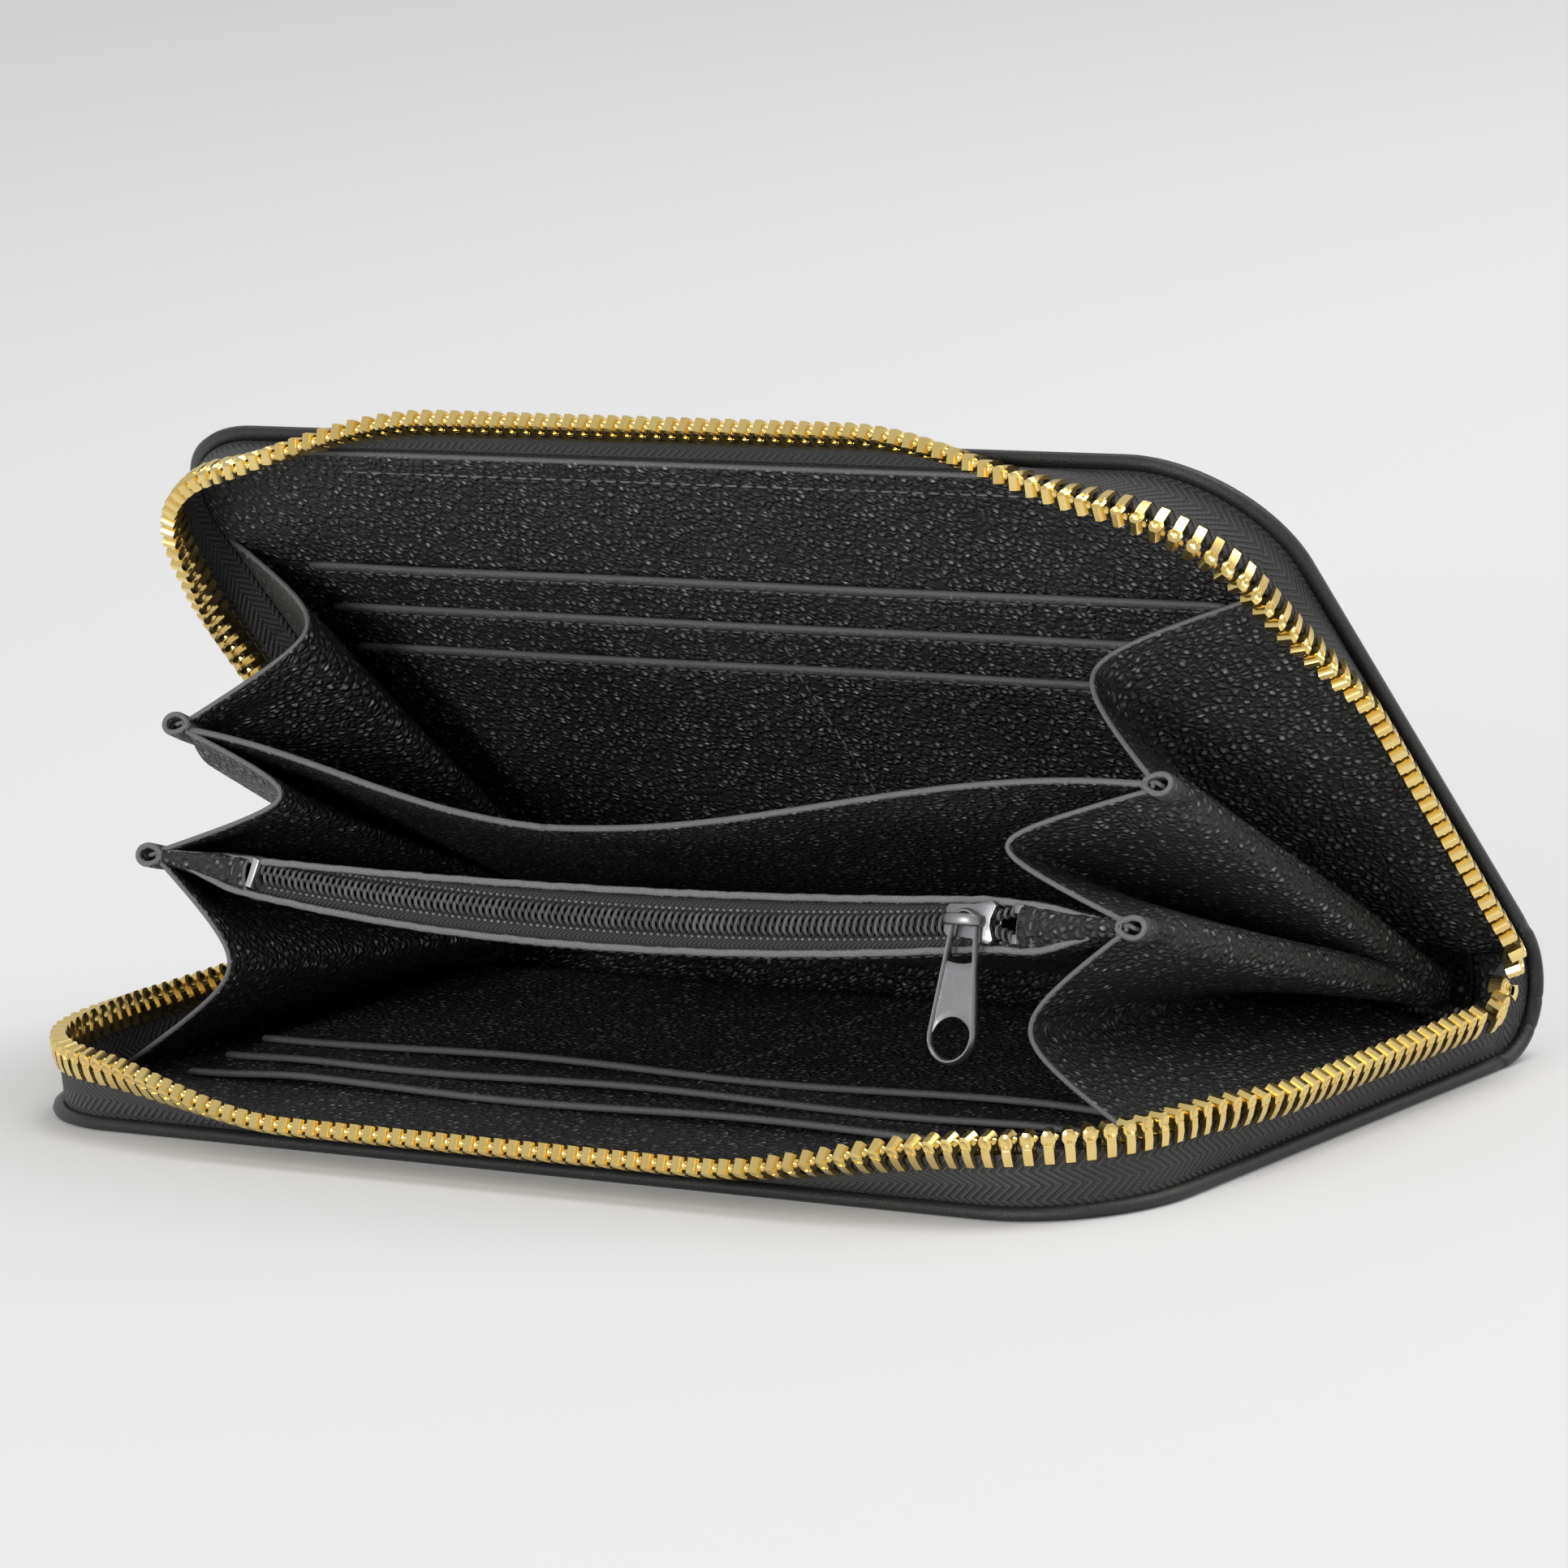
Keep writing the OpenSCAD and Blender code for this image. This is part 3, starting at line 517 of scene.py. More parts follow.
def geometry_tree(name, sizes):
    """A geometry node tree with named inputs, its input sockets, and a function that ends it."""
    tree = bpy.data.node_groups.new(name, "GeometryNodeTree")
    tree.interface.new_socket("Geometry", in_out="INPUT", socket_type="NodeSocketGeometry")
    for label, kind in sizes:
        tree.interface.new_socket(label, in_out="INPUT", socket_type="NodeSocket" + kind)
    tree.interface.new_socket("Geometry", in_out="OUTPUT", socket_type="NodeSocketGeometry")
    start = tree.nodes.new("NodeGroupInput").outputs

    def end(geometry):
        real = add(tree, "GeometryNodeRealizeInstances", {0: geometry}).outputs[0]
        painted = add(tree, "GeometryNodeSetMaterial", {"Geometry": real, "Material": start["Material"]})
        tree.links.new(painted.outputs[0], tree.nodes.new("NodeGroupOutput").inputs[0])

    return tree, start, end


def spaced_points(tree, start, spacing):
    """Points a spacing apart along the lines that come in."""
    line = add(tree, "GeometryNodeMeshToCurve", {"Mesh": start["Geometry"]}).outputs[0]
    return add(tree, "GeometryNodeResampleCurve", {"Curve": line, "Length": start[spacing]},
               mode="LENGTH").outputs[0]


def placed_on(tree, points, shape, turn):
    return add(tree, "GeometryNodeInstanceOnPoints", {"Points": points, "Instance": shape,
                                                      "Rotation": turn}).outputs[0]


def carried_turn(tree):
    """Rotation given by the directions up and along that the points carry."""
    read = [add(tree, "GeometryNodeInputNamedAttribute", {"Name": name},
                data_type="FLOAT_VECTOR").outputs[0] for name in ("up", "along")]
    return add(tree, "FunctionNodeAxesToRotation", {0: read[0], 1: read[1]}, primary_axis="Z",
               secondary_axis="X").outputs[0]


def make_stitch_tree():
    """A row of stitches along a line."""
    tree, start, end = geometry_tree("stitch row", [("Spacing", "Float"), ("Stitch length", "Float"),
                                                    ("Thread", "Float"), ("Material", "Material")])
    points = spaced_points(tree, start, "Spacing")
    bead = add(tree, "GeometryNodeMeshUVSphere", {"Segments": 6, "Rings": 4, "Radius": 0.5}).outputs[0]
    size = add(tree, "ShaderNodeCombineXYZ", {0: start["Stitch length"], 1: start["Thread"],
                                              2: start["Thread"]}).outputs[0]
    bead = add(tree, "GeometryNodeTransform", {"Geometry": bead, "Scale": size}).outputs[0]
    bead = add(tree, "GeometryNodeSetShadeSmooth", {0: bead}).outputs[0]
    along = add(tree, "GeometryNodeInputTangent").outputs[0]
    turn = add(tree, "FunctionNodeAlignRotationToVector", {"Vector": along}, axis="X").outputs[0]
    end(placed_on(tree, points, bead, turn))
    return tree


def make_tooth_tree():
    """A row of teeth along a line whose points carry the directions along and up."""
    tree, start, end = geometry_tree("tooth row", [("Pitch", "Float"), ("Tooth", "Object"),
                                                   ("Material", "Material")])
    points = spaced_points(tree, start, "Pitch")
    tooth = add(tree, "GeometryNodeObjectInfo", {"Object": start["Tooth"]}).outputs["Geometry"]
    end(placed_on(tree, points, tooth, carried_turn(tree)))
    return tree


def make_coil_tree():
    """A row of wire loops along a line: each loop is an oval in the plane across the line, turned a
    little so that the wire runs on from one to the next."""
    tree, start, end = geometry_tree("coil row", [("Pitch", "Float"), ("Height", "Float"),
                                                  ("Depth", "Float"), ("Wire", "Float"),
                                                  ("Slant", "Float"), ("Material", "Material")])
    points = spaced_points(tree, start, "Pitch")
    oval = add(tree, "GeometryNodeCurvePrimitiveCircle", {"Resolution": 14, "Radius": 0.5},
               mode="RADIUS").outputs[0]
    size = add(tree, "ShaderNodeCombineXYZ", {0: start["Depth"], 1: start["Height"], 2: 1.0}).outputs[0]
    oval = add(tree, "GeometryNodeTransform", {"Geometry": oval, "Scale": size}).outputs[0]
    lean = add(tree, "ShaderNodeCombineXYZ", {0: start["Slant"], 1: math.pi / 2, 2: 0.0}).outputs[0]
    oval = add(tree, "GeometryNodeTransform", {"Geometry": oval, "Rotation": lean}).outputs[0]
    half = add(tree, "ShaderNodeMath", {0: start["Wire"], 1: 0.5}, operation="MULTIPLY").outputs[0]
    wire = add(tree, "GeometryNodeCurvePrimitiveCircle", {"Resolution": 6, "Radius": half},
               mode="RADIUS").outputs[0]
    loop = add(tree, "GeometryNodeCurveToMesh", {"Curve": oval, "Profile Curve": wire}).outputs[0]
    loop = add(tree, "GeometryNodeSetShadeSmooth", {0: loop}).outputs[0]
    end(placed_on(tree, points, loop, carried_turn(tree)))
    return tree


def line_mesh(name, lines, directions=None):
    """Poly-lines as a mesh of edges; directions gives each line's {attribute: vectors}."""
    points = np.concatenate([np.asarray(line, float) for line in lines])
    edges, start = [], 0
    for line in lines:
        edges += [(start + k, start + k + 1) for k in range(len(line) - 1)]
        start += len(line)
    mesh = bpy.data.meshes.new(name)
    mesh.from_pydata([tuple(p) for p in points], edges, [])
    for key in (directions or [{}])[0]:
        values = np.concatenate([np.asarray(d[key], np.float32) for d in directions])
        mesh.attributes.new(key, "FLOAT_VECTOR", "POINT").data.foreach_set("vector", values.ravel())
    return linked(name, mesh)


def grown(piece, tree, values):
    """piece after a geometry node tree with these inputs, as a plain mesh."""
    modifier = piece.modifiers.new(tree.name, "NODES")
    modifier.node_group = tree
    for item in tree.interface.items_tree:
        if item.in_out == "INPUT" and item.name in values:
            modifier[item.identifier] = values[item.name]
    return as_mesh(piece)


STITCH_TREE = make_stitch_tree()
TOOTH_TREE = make_tooth_tree()
COIL_TREE = make_coil_tree()


def stitches(name, lines, spacing=2.6, length=2.0, thread=0.3, look="thread"):
    piece = grown(line_mesh(name, lines), STITCH_TREE, {
        "Spacing": spacing * MM, "Stitch length": length * MM, "Thread": thread * MM,
        "Material": MATERIALS[look]})
    return piece


# ---------------------------------------------------------------- covers and spine

EDGE_T = 1.9                                    # thickness of a cover's painted edge


def cover_columns(half, corner, step=4.5):
    """x of each column across a cover, and how far its front edge is drawn back by the corner."""
    turn = np.radians(np.arange(90, -0.01, -step))
    x = half - corner + corner * np.sin(turn)
    back = corner - corner * np.cos(turn)
    middle = np.linspace(-(half - corner), half - corner, 41)[1:-1]
    return np.concatenate([-x, middle, x[::-1]]), np.concatenate([back, np.zeros(39), back[::-1]])


def cover_grid(half, depth, corner, edge_rows, rows):
    """(x, d) of a cover's sheet, [u][v], with rows drawn together at the front edge."""
    x, back = cover_columns(half, corner)
    front = depth - back
    steps = [front - r for r in sorted(edge_rows, reverse=True)]
    inner = steps[0]
    columns = [inner * k / rows for k in range(rows)] + steps
    return np.repeat(x[:, None], len(columns), 1), np.stack(columns, 1)


def edge_distance(x, d, half, depth, corner):
    """How far a point of a cover is from its outline, the spine side left out."""
    qx, qd = np.abs(x) - (half - corner), d - (depth - corner)
    return corner - np.where((qx > 0) & (qd > 0), np.hypot(qx, qd), np.maximum(qx, qd))


def outer_thickness(distance):
    return OUTER_T + (EDGE_T - OUTER_T) * ease((2.6 - distance) / 1.4)


def inset_cover(inset):
    """(x, d) of a cover's sheet drawn in by inset, its distance from the outline, and its depth."""
    half, depth, corner = HALF_L - inset, COVER_D - inset, COVER_CORNER - inset
    x, d = cover_grid(half, depth, corner, (0, 0.5, 1.0, 1.6, 2.4, 4), 24)
    return x, d, edge_distance(x, d, half, depth, corner), depth


def make_cover(name, c):
    inset = EDGE_T / 2
    x, d, distance, depth = inset_cover(inset)
    t = outer_thickness(distance + inset)
    z = (-HALF_T + t / 2) * c["up"]
    piece = sheet_piece(name + "_cover_leather", at(c["angle"], x, d, z), t, "outer leather",
                        ease((1.5 - distance) / 0.5) * ease(d / 0.5))
    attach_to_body(finish_piece(piece, "pebbled_leather", name + "_outer_leather"), name + "_cover")

    # lining with a turned and stitched front edge
    x, d, distance, depth = inset_cover(HALF_L - LINING_BOX[1][0] + LINING_T / 2)
    turned = 0.35 * ease((3.2 - distance) / 1.4)
    z = (LINING_Z + (LINING_T + turned) / 2 + 0.06 * np.sin(x / 9) * np.sin(d / 11 + 1)) * c["up"]
    piece = sheet_piece(name + "_lining", at(c["angle"], x, d, z), LINING_T + turned, "lining leather")
    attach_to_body(finish_piece(piece, "lining_leather", name + "_lining_panel"), name + "_cover")
    seam_x = np.linspace(-60, 60, 61)
    row = at(c["angle"], seam_x, depth - 3.4, (LINING_Z + LINING_T + 0.16) * c["up"])
    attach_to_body(stitches(name + "_lining_stitches", [row]), name + "_cover")


def spine_sheet(name, radius, half, start, end, thickness, material, edged=False):
    """A strip bent round the hinge line; start and end are degrees back from straight below it."""
    xs = np.concatenate([[-half, -half + 0.5, -half + 1.0, -half + 1.6, -half + 2.6],
                         np.linspace(-half + 8, half - 8, 31),
                         [half - 2.6, half - 1.6, half - 1.0, half - 0.5, half]])
    turns = np.radians(np.linspace(start, end, max(8, int((end - start) / 3))))
    x, a = np.meshgrid(xs, turns, indexing="ij")
    t = outer_thickness(half - np.abs(x) + EDGE_T / 2) if edged else np.full(x.shape, thickness)
    r = radius + (thickness - t) / 2
    grid = np.stack([x, r * np.sin(a), -r * np.cos(a)], -1) * MM + HINGE
    mask = ease((1.5 - (half - np.abs(x))) / 0.5) if edged else None
    return sheet_piece(name, grid[:, ::-1], t, material, mask)


SPINE_TURN = 180 - OPEN
SPINE_STRIPS = (("lower", "lower_cover", "coin_pocket", 0, COIN / OPEN),
                ("middle", "coin_pocket", "centre_divider", COIN / OPEN, DIVIDER / OPEN),
                ("upper", "centre_divider", "upper_cover", DIVIDER / OPEN, 1))


def make_spine():
    radius = HALF_T - OUTER_T / 2
    inner = HALF_T - OUTER_T - LINING_T / 2 - 0.05
    for label, first, second, share, end_share in SPINE_STRIPS:
        start, end = share * SPINE_TURN, end_share * SPINE_TURN    # degrees back from below the line
        for part, r, half, t, material, slot, node in (
                ("leather", radius, HALF_L - EDGE_T / 2, OUTER_T, "outer leather", "pebbled_leather",
                 "spine_outer_leather"),
                ("lining", inner, FOLD_X, LINING_T, "spine lining leather", "lining_leather",
                 "spine_lining")):
            piece = spine_sheet(f"spine_{part}_{label}", r, half, start, end, t, material,
                                edged=part == "leather")
            finish_piece(piece, slot, node)
            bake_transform(piece)


def make_tape_ends():
    """The cloth that closes each end of the spine, between the two rows' last teeth."""
    for side, hand in ((-1, "left"), (1, "right")):
        for label, first, second, share, end_share in SPINE_STRIPS:
            start, end = share * SPINE_TURN, end_share * SPINE_TURN
            turns = np.radians(np.linspace(start, end, max(6, int((end - start) / 4))))
            r, a = np.meshgrid(np.linspace(2.6, HALF_T - OUTER_T - 0.4, 9), turns, indexing="ij")
            x = side * (TAPE_X - 0.25 + 0.5 * np.sin(math.pi * (r - 2.6) / 7))
            grid = np.stack([x, r * np.sin(a), -r * np.cos(a)], -1) * MM + HINGE
            piece = sheet_piece(f"{hand}_zip_cloth_end_{label}", facing(grid, side < 0), TAPE_T,
                                "main zip cloth")
            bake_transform(piece)


# ---------------------------------------------------------------- pockets

def pocket_wave(c, order, half, x):
    """How far a card pocket's slack edge stands up."""
    return c["pocket_lift"] * (0.55 + 0.45 * np.sin(x / 13 + order * 1.9)) * ease((half - np.abs(x)) / 22)


def make_pockets(name, c):
    seams = []
    body = name + "_cover"
    for order, label in enumerate(("slip_pocket", "card_pocket_rear", "card_pocket_front")):
        node = f"{name}_{label}"
        low, high = closed_box(node, c["angle"])
        top = -min(abs(low[2]), abs(high[2]))   # height of the pocket's face below the middle plane
        t0 = high[2] - low[2]
        edge_d, half = high[1], high[0]
        xs = np.linspace(-half + 0.4, half - 0.4, 65)
        rows = np.concatenate([np.linspace(low[1] + 1, edge_d - 5, 18),
                               edge_d - np.array([4.2, 3.4, 2.8, 2.3, 1.9, 1.5, 1.1, 0.8, 0.55])])
        x, d = np.meshgrid(xs, rows, indexing="ij")
        near = ease((d - edge_d + 9) / 9)
        wave = pocket_wave(c, order, half, x)
        groove = 0.28 * np.exp(-((edge_d - d - 2.0) / 0.45) ** 2)
        roll = 0.5 * ease((d - edge_d + 2.0) / 0.9)
        t = t0 * 0.8 + roll - groove * 0.6
        z = top - t0 * 0.8 + t / 2 + wave * near - groove * 0.2
        # The rolled front edge takes the lighter edge tone: a painted highlight.
        piece = sheet_piece(node + "_leather", at(c["angle"], x, d, z * c["up"]), t, "pocket leather",
                            0.8 * ease((d - edge_d + 1.3) / 0.4))
        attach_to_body(finish_piece(piece, "lining_leather", node), body)
        seam_x = np.linspace(-half + 3, half - 3, 90)
        seam_z = top - 0.1 + pocket_wave(c, order, half, seam_x) * 0.9
        seams.append(at(c["angle"], seam_x, edge_d - 2.05, seam_z * c["up"]))
        if order > 0:                           # the card pockets are parted down the middle
            line_d = np.linspace(edge_d - 2.5, edge_d - (8.5 if order == 1 else 60), 24)
            lift = c["pocket_lift"] * 0.6 * ease((line_d - edge_d + 9) / 9)
            seams.append(at(c["angle"], 0, line_d, (top + 0.08 + lift) * c["up"]))
    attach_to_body(stitches(name + "_pocket_stitches", seams, spacing=2.3, length=1.75, thread=0.38), body)


# ---------------------------------------------------------------- gussets

def ridge(d):
    """Radius of the roll of leather along a fold, and how far its middle is drawn in, at depth d."""
    grown_in = ease((INNER_D - 0.5 - d) / 9)
    return (0.9 + 1.6 * grown_in) * (0.72 + 0.28 * ease(d / 25)), 1.7 - 1.3 * grown_in


def divider_height(d):
    """The divider's height falls away towards the spine, where the folds run together."""
    return DIVIDER_Z * (0.1 + 0.9 * d / INNER_D)


def fold_height(angle, d):
    return divider_height(d) if angle == DIVIDER else COIN_Z


def section(angle, x, d, z):
    return (at(angle, x, d, z) - HINGE) / MM


def fold_wrap(angle, d, target, turn):
    """Points of the roll round a fold, from its outermost line to where it leaves for target."""
    radius, drawn = ridge(d)
    middle = section(angle, FOLD_X - drawn, d, fold_height(angle, d))
    up = section(angle, 0, 0, 1)
    to = unit(target - middle)
    away = math.atan2(-to[0], to @ up * turn)
    a = np.linspace(0, max(0.3, away), 7)
    return middle + radius * (np.cos(a)[:, None] * [1, 0, 0] + turn * np.sin(a)[:, None] * up)


def bay_start(edge, d, valley, turn):
    """Points at a bay's edge: one on a cover, or the roll round a fold."""
    if isinstance(edge, tuple):
        return section(edge[0], edge[1], d, edge[2])[None]
    return fold_wrap(edge, d, valley, turn)


def gusset_grid(low, valley, high, side, sharp=3.2):
    """A bay folded inwards. low and high are a fold's angle, or (angle, x, z) on a cover, and valley
    is (angle, x, z) at the bay's front. The grid is [from the spine forwards][from low to high]."""
    ds = np.concatenate([np.linspace(-1.5, 60, 24), np.linspace(62, INNER_D - 2, 9),
                         INNER_D - np.array([1.2, 0.45])])
    back_x = FOLD_X - 21
    columns = []
    for d in ds:
        deep = max(0.0, d / INNER_D)
        v = section(valley[0], back_x + (valley[1] - back_x) * deep, d, valley[2] * (0.4 + 0.6 * deep))
        first, last = bay_start(low, d, v, 1), bay_start(high, d, v, -1)[::-1]
        a, b = first[-1], last[0]
        peak = v + (v - (a + b) / 2) / sharp
        t = np.linspace(0, 1, 33)[1:-1]
        w = np.stack([(1 - t) ** 2, 2 * t * (1 - t) * sharp, t ** 2], 1)
        curve = (w @ np.stack([a, peak, b])) / w.sum(1, keepdims=True)
        columns.append(np.concatenate([first, curve, last]))
    grid = np.array(columns)
    grid[..., 0] *= side
    return grid * MM + HINGE


GUSSET_X = TAPE_X - 2                           # where the gusset meets a cover's lining
GUSSET_Z = LINING_Z + LINING_T + GUSSET_T / 2
BAYS = (("lower", "lower_cover", "coin_pocket", (0, GUSSET_X, GUSSET_Z), (8, 69.0, -2.4), COIN),
        ("middle", "coin_pocket", "centre_divider", COIN, (24.3, 62.5, 1.9), DIVIDER),
        ("upper", "centre_divider", "upper_cover", DIVIDER, (42, 68.0, 5.6), (OPEN, GUSSET_X, -GUSSET_Z)))


def bay_edge(edge):
    angle, z = (edge[0], edge[2]) if isinstance(edge, tuple) else (edge, fold_height(edge, INNER_D))
    return tuple(at(angle, 0, INNER_D, z))


def make_gussets():
    for side, hand in ((-1, "left"), (1, "right")):
        for label, first, second, low, valley, high in BAYS:
            grid = gusset_grid(low, valley, high, side)
            piece = sheet_piece(f"{hand}_gusset_{label}", facing(grid, side > 0), GUSSET_T,
                                "lining leather")
            finish_piece(piece, "lining_leather", f"{hand}_gusset_{label}_bay")
            bay_edge(low)
            bay_edge(high)
            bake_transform(piece)


def loop_profile(turn, flat):
    """Outline of a stitched fold seen from the front: an eye drawn in to its neck at turn 0 and 1."""
    a = 2 * math.pi * turn
    x = FOLD_R * 1.25 * (0.12 - np.cos(a)) + 0.5
    z = FOLD_R * flat * np.sin(a) * (0.5 + 0.5 * np.sin(a / 2))
    return x, z


def make_folds():
    for side, hand in ((-1, "left"), (1, "right")):
        for label, body, angle in (("coin_pocket", "coin_pocket", COIN),
                                   ("divider", "centre_divider", DIVIDER)):
            z0 = fold_height(angle, INNER_D)
            d, turn = np.meshgrid(np.linspace(INNER_D - 10, INNER_D + 0.2, 12),
                                  np.linspace(0.02, 0.98, 31), indexing="ij")
            x, z = loop_profile(turn, 0.9)
            size = 0.8 + 0.25 * ease((d - INNER_D + 8) / 7)
            grid = at(angle, side * (FOLD_X - 0.5 + x * size), d, z0 + z * size)
            # The fold's front takes some of the lighter edge tone: a painted highlight.
            piece = sheet_piece(f"{hand}_{label}_fold_leather", facing(grid, side > 0), 0.85,
                                "lining leather",
                                0.3 * ease((d - INNER_D + 4) / 4))
            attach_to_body(finish_piece(piece, "lining_leather", f"{label}_{hand}_fold"), body)
            inner = np.linspace(-1.9, 0.5, 9)       # end of the panel's leather tucked into the fold
            d, x = np.meshgrid(np.linspace(INNER_D - 6, INNER_D - 0.3, 6), inner, indexing="ij")
            z = 0.35 * np.sin((x + 1.9) * 1.3)
            grid = at(angle, side * (FOLD_X + x), d, z0 + z)
            piece = sheet_piece(f"{hand}_{label}_tucked_end", facing(grid, side < 0), 0.7,
                                "lining leather")
            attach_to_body(finish_piece(piece, "lining_leather"), body)
            neck = FOLD_X - 0.5 - FOLD_R * 0.95 * 0.75
            lines = []
            for k in range(3):
                a = np.linspace(-2.2, 2.2, 13)
                lines.append(at(angle, side * (neck - 0.35 + 0.38 * k), INNER_D - 0.35 + 0.75 * np.cos(a),
                                z0 + 1.15 * np.sin(a * 0.8)))
            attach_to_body(stitches(f"{hand}_{label}_bartack", lines, spacing=0.7, length=0.95,
                             thread=0.27), body)


# ---------------------------------------------------------------- divider

SPLIT_X = -15                                   # the divider is one leather; it bends in two halves
LEFT_NEAR, LEFT_FAR, RIGHT_NEAR = -92, -9.5, 78  # x at which it follows the divider, and the coin pocket
SPLIT_T = 1 - (SPLIT_X - LEFT_NEAR) / (LEFT_FAR - LEFT_NEAR)
RIGHT_FAR = (SPLIT_X - SPLIT_T * RIGHT_NEAR) / (1 - SPLIT_T)


def divider_drop(x):
    """Degrees that the slack front edge hangs below the divider's side edges."""
    near, far = np.where(x < SPLIT_X, LEFT_NEAR, RIGHT_NEAR), np.where(x < SPLIT_X, LEFT_FAR, RIGHT_FAR)
    drop = (DIVIDER - COIN) * ease((x - near) / (far - near))
    return drop * (1 - 0.1 * (drop / (DIVIDER - COIN)) ** 4)


def divider_grid(xs, ds):
    x, d = np.meshgrid(xs, ds, indexing="ij")
    z = divider_height(d) + 0.25 * np.sin(x / 17 + 1) * np.sin(d / 19)
    return at(DIVIDER - divider_drop(x), x, d, z)


def make_divider():
    half = FOLD_X - FOLD_R - 0.3
    ds = np.concatenate([np.linspace(-5, INNER_D - 4, 26), INNER_D - np.array([2.6, 1.6, 1.0, 0.5])])
    for label, xs, near, far, nodes in (
            ("left", np.linspace(-half, SPLIT_X, 40), LEFT_NEAR, LEFT_FAR, ["divider_lower_leather"]),
            ("right", np.linspace(SPLIT_X, half, 56), RIGHT_NEAR, RIGHT_FAR, ["divider_upper_leather"])):
        piece = sheet_piece(f"divider_{label}", divider_grid(xs, ds), 1.0, "lining leather")
        finish_piece(piece, "lining_leather", *nodes)
        tuple(at(COIN, far, 0, 0))
        tuple(at(COIN, near, 0, 0))
        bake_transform(piece)


# ---------------------------------------------------------------- coin pocket

MOUTH_FROM, MOUTH_TO = -66.5, 67.0              # ends of the mouth between its drawn-in leathers
MOUTH_D = INNER_D
PANEL_BACK = -5                                 # depth at which the coin pocket and divider start
COIN_SAG = 3.1                                  # how far the slack coin zip hangs at its middle
SAG_X, SAG_HALF = -6, 66                        # where it hangs lowest, and half the length that hangs
UPPER_LIP, LOWER_LIP = 4.2, 4.7                 # widest gap from the coil to each leather's edge
UPPER_WIDE_X, LOWER_WIDE_X = 10, -15            # where those gaps are widest
COIL_BOX = closed_box("coin_zip_upper_coil", COIN)
COIL_D = (COIL_BOX[0][1] + COIL_BOX[1][1]) / 2
COIN_TAPE_D = COIL_BOX[0][1] - 0.25
SLIDER_X = closed_points([JOINTS["coin_zip_slide"]["pos_m"]], COIN)[0][0]
PULL_PIVOT = closed_points([JOINTS["coin_pull_swing"]["pos_m"]], COIN)[0]


def coil_line(x):
    """Height of the slack coin zip above the line between its folds."""
    return -0.6 - COIN_SAG * np.maximum(0, 1 - ((np.asarray(x, float) - SAG_X) / SAG_HALF) ** 2)


SLIDER_Z = float(coil_line(SLIDER_X))


def lip_over(x):
    """Height of the upper leather's edge above the coil; the mouth narrows at its ends."""
    from_wide = x - UPPER_WIDE_X
    return UPPER_LIP - np.where(from_wide < 0, 2.2 * (from_wide / 76) ** 2, 0.9 * (from_wide / 55) ** 2)


def lip_under(x):
    """Height of the lower leather's edge under the coil."""
    from_wide = x - LOWER_WIDE_X
    return LOWER_LIP - np.where(from_wide < 0, 1.0 * (from_wide / 50) ** 2, 0.75 * (from_wide / 80) ** 2)


def coin(x, d, z):
    return at(COIN, x, d, COIN_Z + z)


COIN_UP = unit(coin(0, 0, 1) - coin(0, 0, 0))
COIN_AHEAD = unit(coin(0, 1, 0) - coin(0, 0, 0))


def on_coin_pocket(piece, *nodes, slot="lining_leather"):
    """piece rides the coin pocket, with a mesh of its own; the pocket's mouth hangs slack."""
    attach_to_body(finish_piece(piece, slot, *nodes), "coin_pocket")
    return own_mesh(piece, "coin_pocket_fold", tuple(COIN_UP), tuple(coin(0, 0, 0)), 0.5)


def make_coin_leathers():
    half = FOLD_X - FOLD_R - 0.3
    xs = np.concatenate([np.linspace(-half, -60, 12)[:-1], np.linspace(-60, 60, 61),
                         np.linspace(60, half, 12)[1:]])
    ds = np.concatenate([np.linspace(PANEL_BACK, MOUTH_D - 4, 24),
                         MOUTH_D - np.array([2.8, 2.0, 1.4, 0.9, 0.5])])
    x, d = np.meshgrid(xs, ds, indexing="ij")
    ends = ease((x + half) / 14) * ease((half - x) / 14)
    share = (d - PANEL_BACK) / (MOUTH_D - PANEL_BACK)
    ragged = 0.1 * np.sin(x * 1.7) + 0.08 * np.sin(x * 3.1 + 1) + 0.07 * np.sin(x * 0.63)
    for label, up, lip in (("upper", 1, lip_over), ("lower", -1, lip_under)):
        top = coil_line(x) + up * (lip(x) - 0.5)
        z = (top * share + up * 0.45 * (1 - share)) * ends + up * 0.55 * (1 - ends)
        t = 0.75 + 0.35 * ease((d - MOUTH_D + 3) / 2)
        piece = sheet_piece(f"coin_pocket_{label}_leather",
                            coin(x, d + ragged * ease((d - MOUTH_D + 3) / 3), z + 0.35 * ragged), t,
                            "raw edged leather")
        on_coin_pocket(piece, f"coin_pocket_{label}_panel")
        seam_x = np.linspace(MOUTH_FROM + 3, MOUTH_TO - 3, 90)
        seam = (coil_line(seam_x) + up * (lip(seam_x) - 0.5)) * 0.97 + up * 0.52
        on_coin_pocket(stitches(f"coin_pocket_{label}_stitches", [coin(seam_x, MOUTH_D - 2.6, seam)],
                                spacing=2.2, length=1.7, thread=0.26))


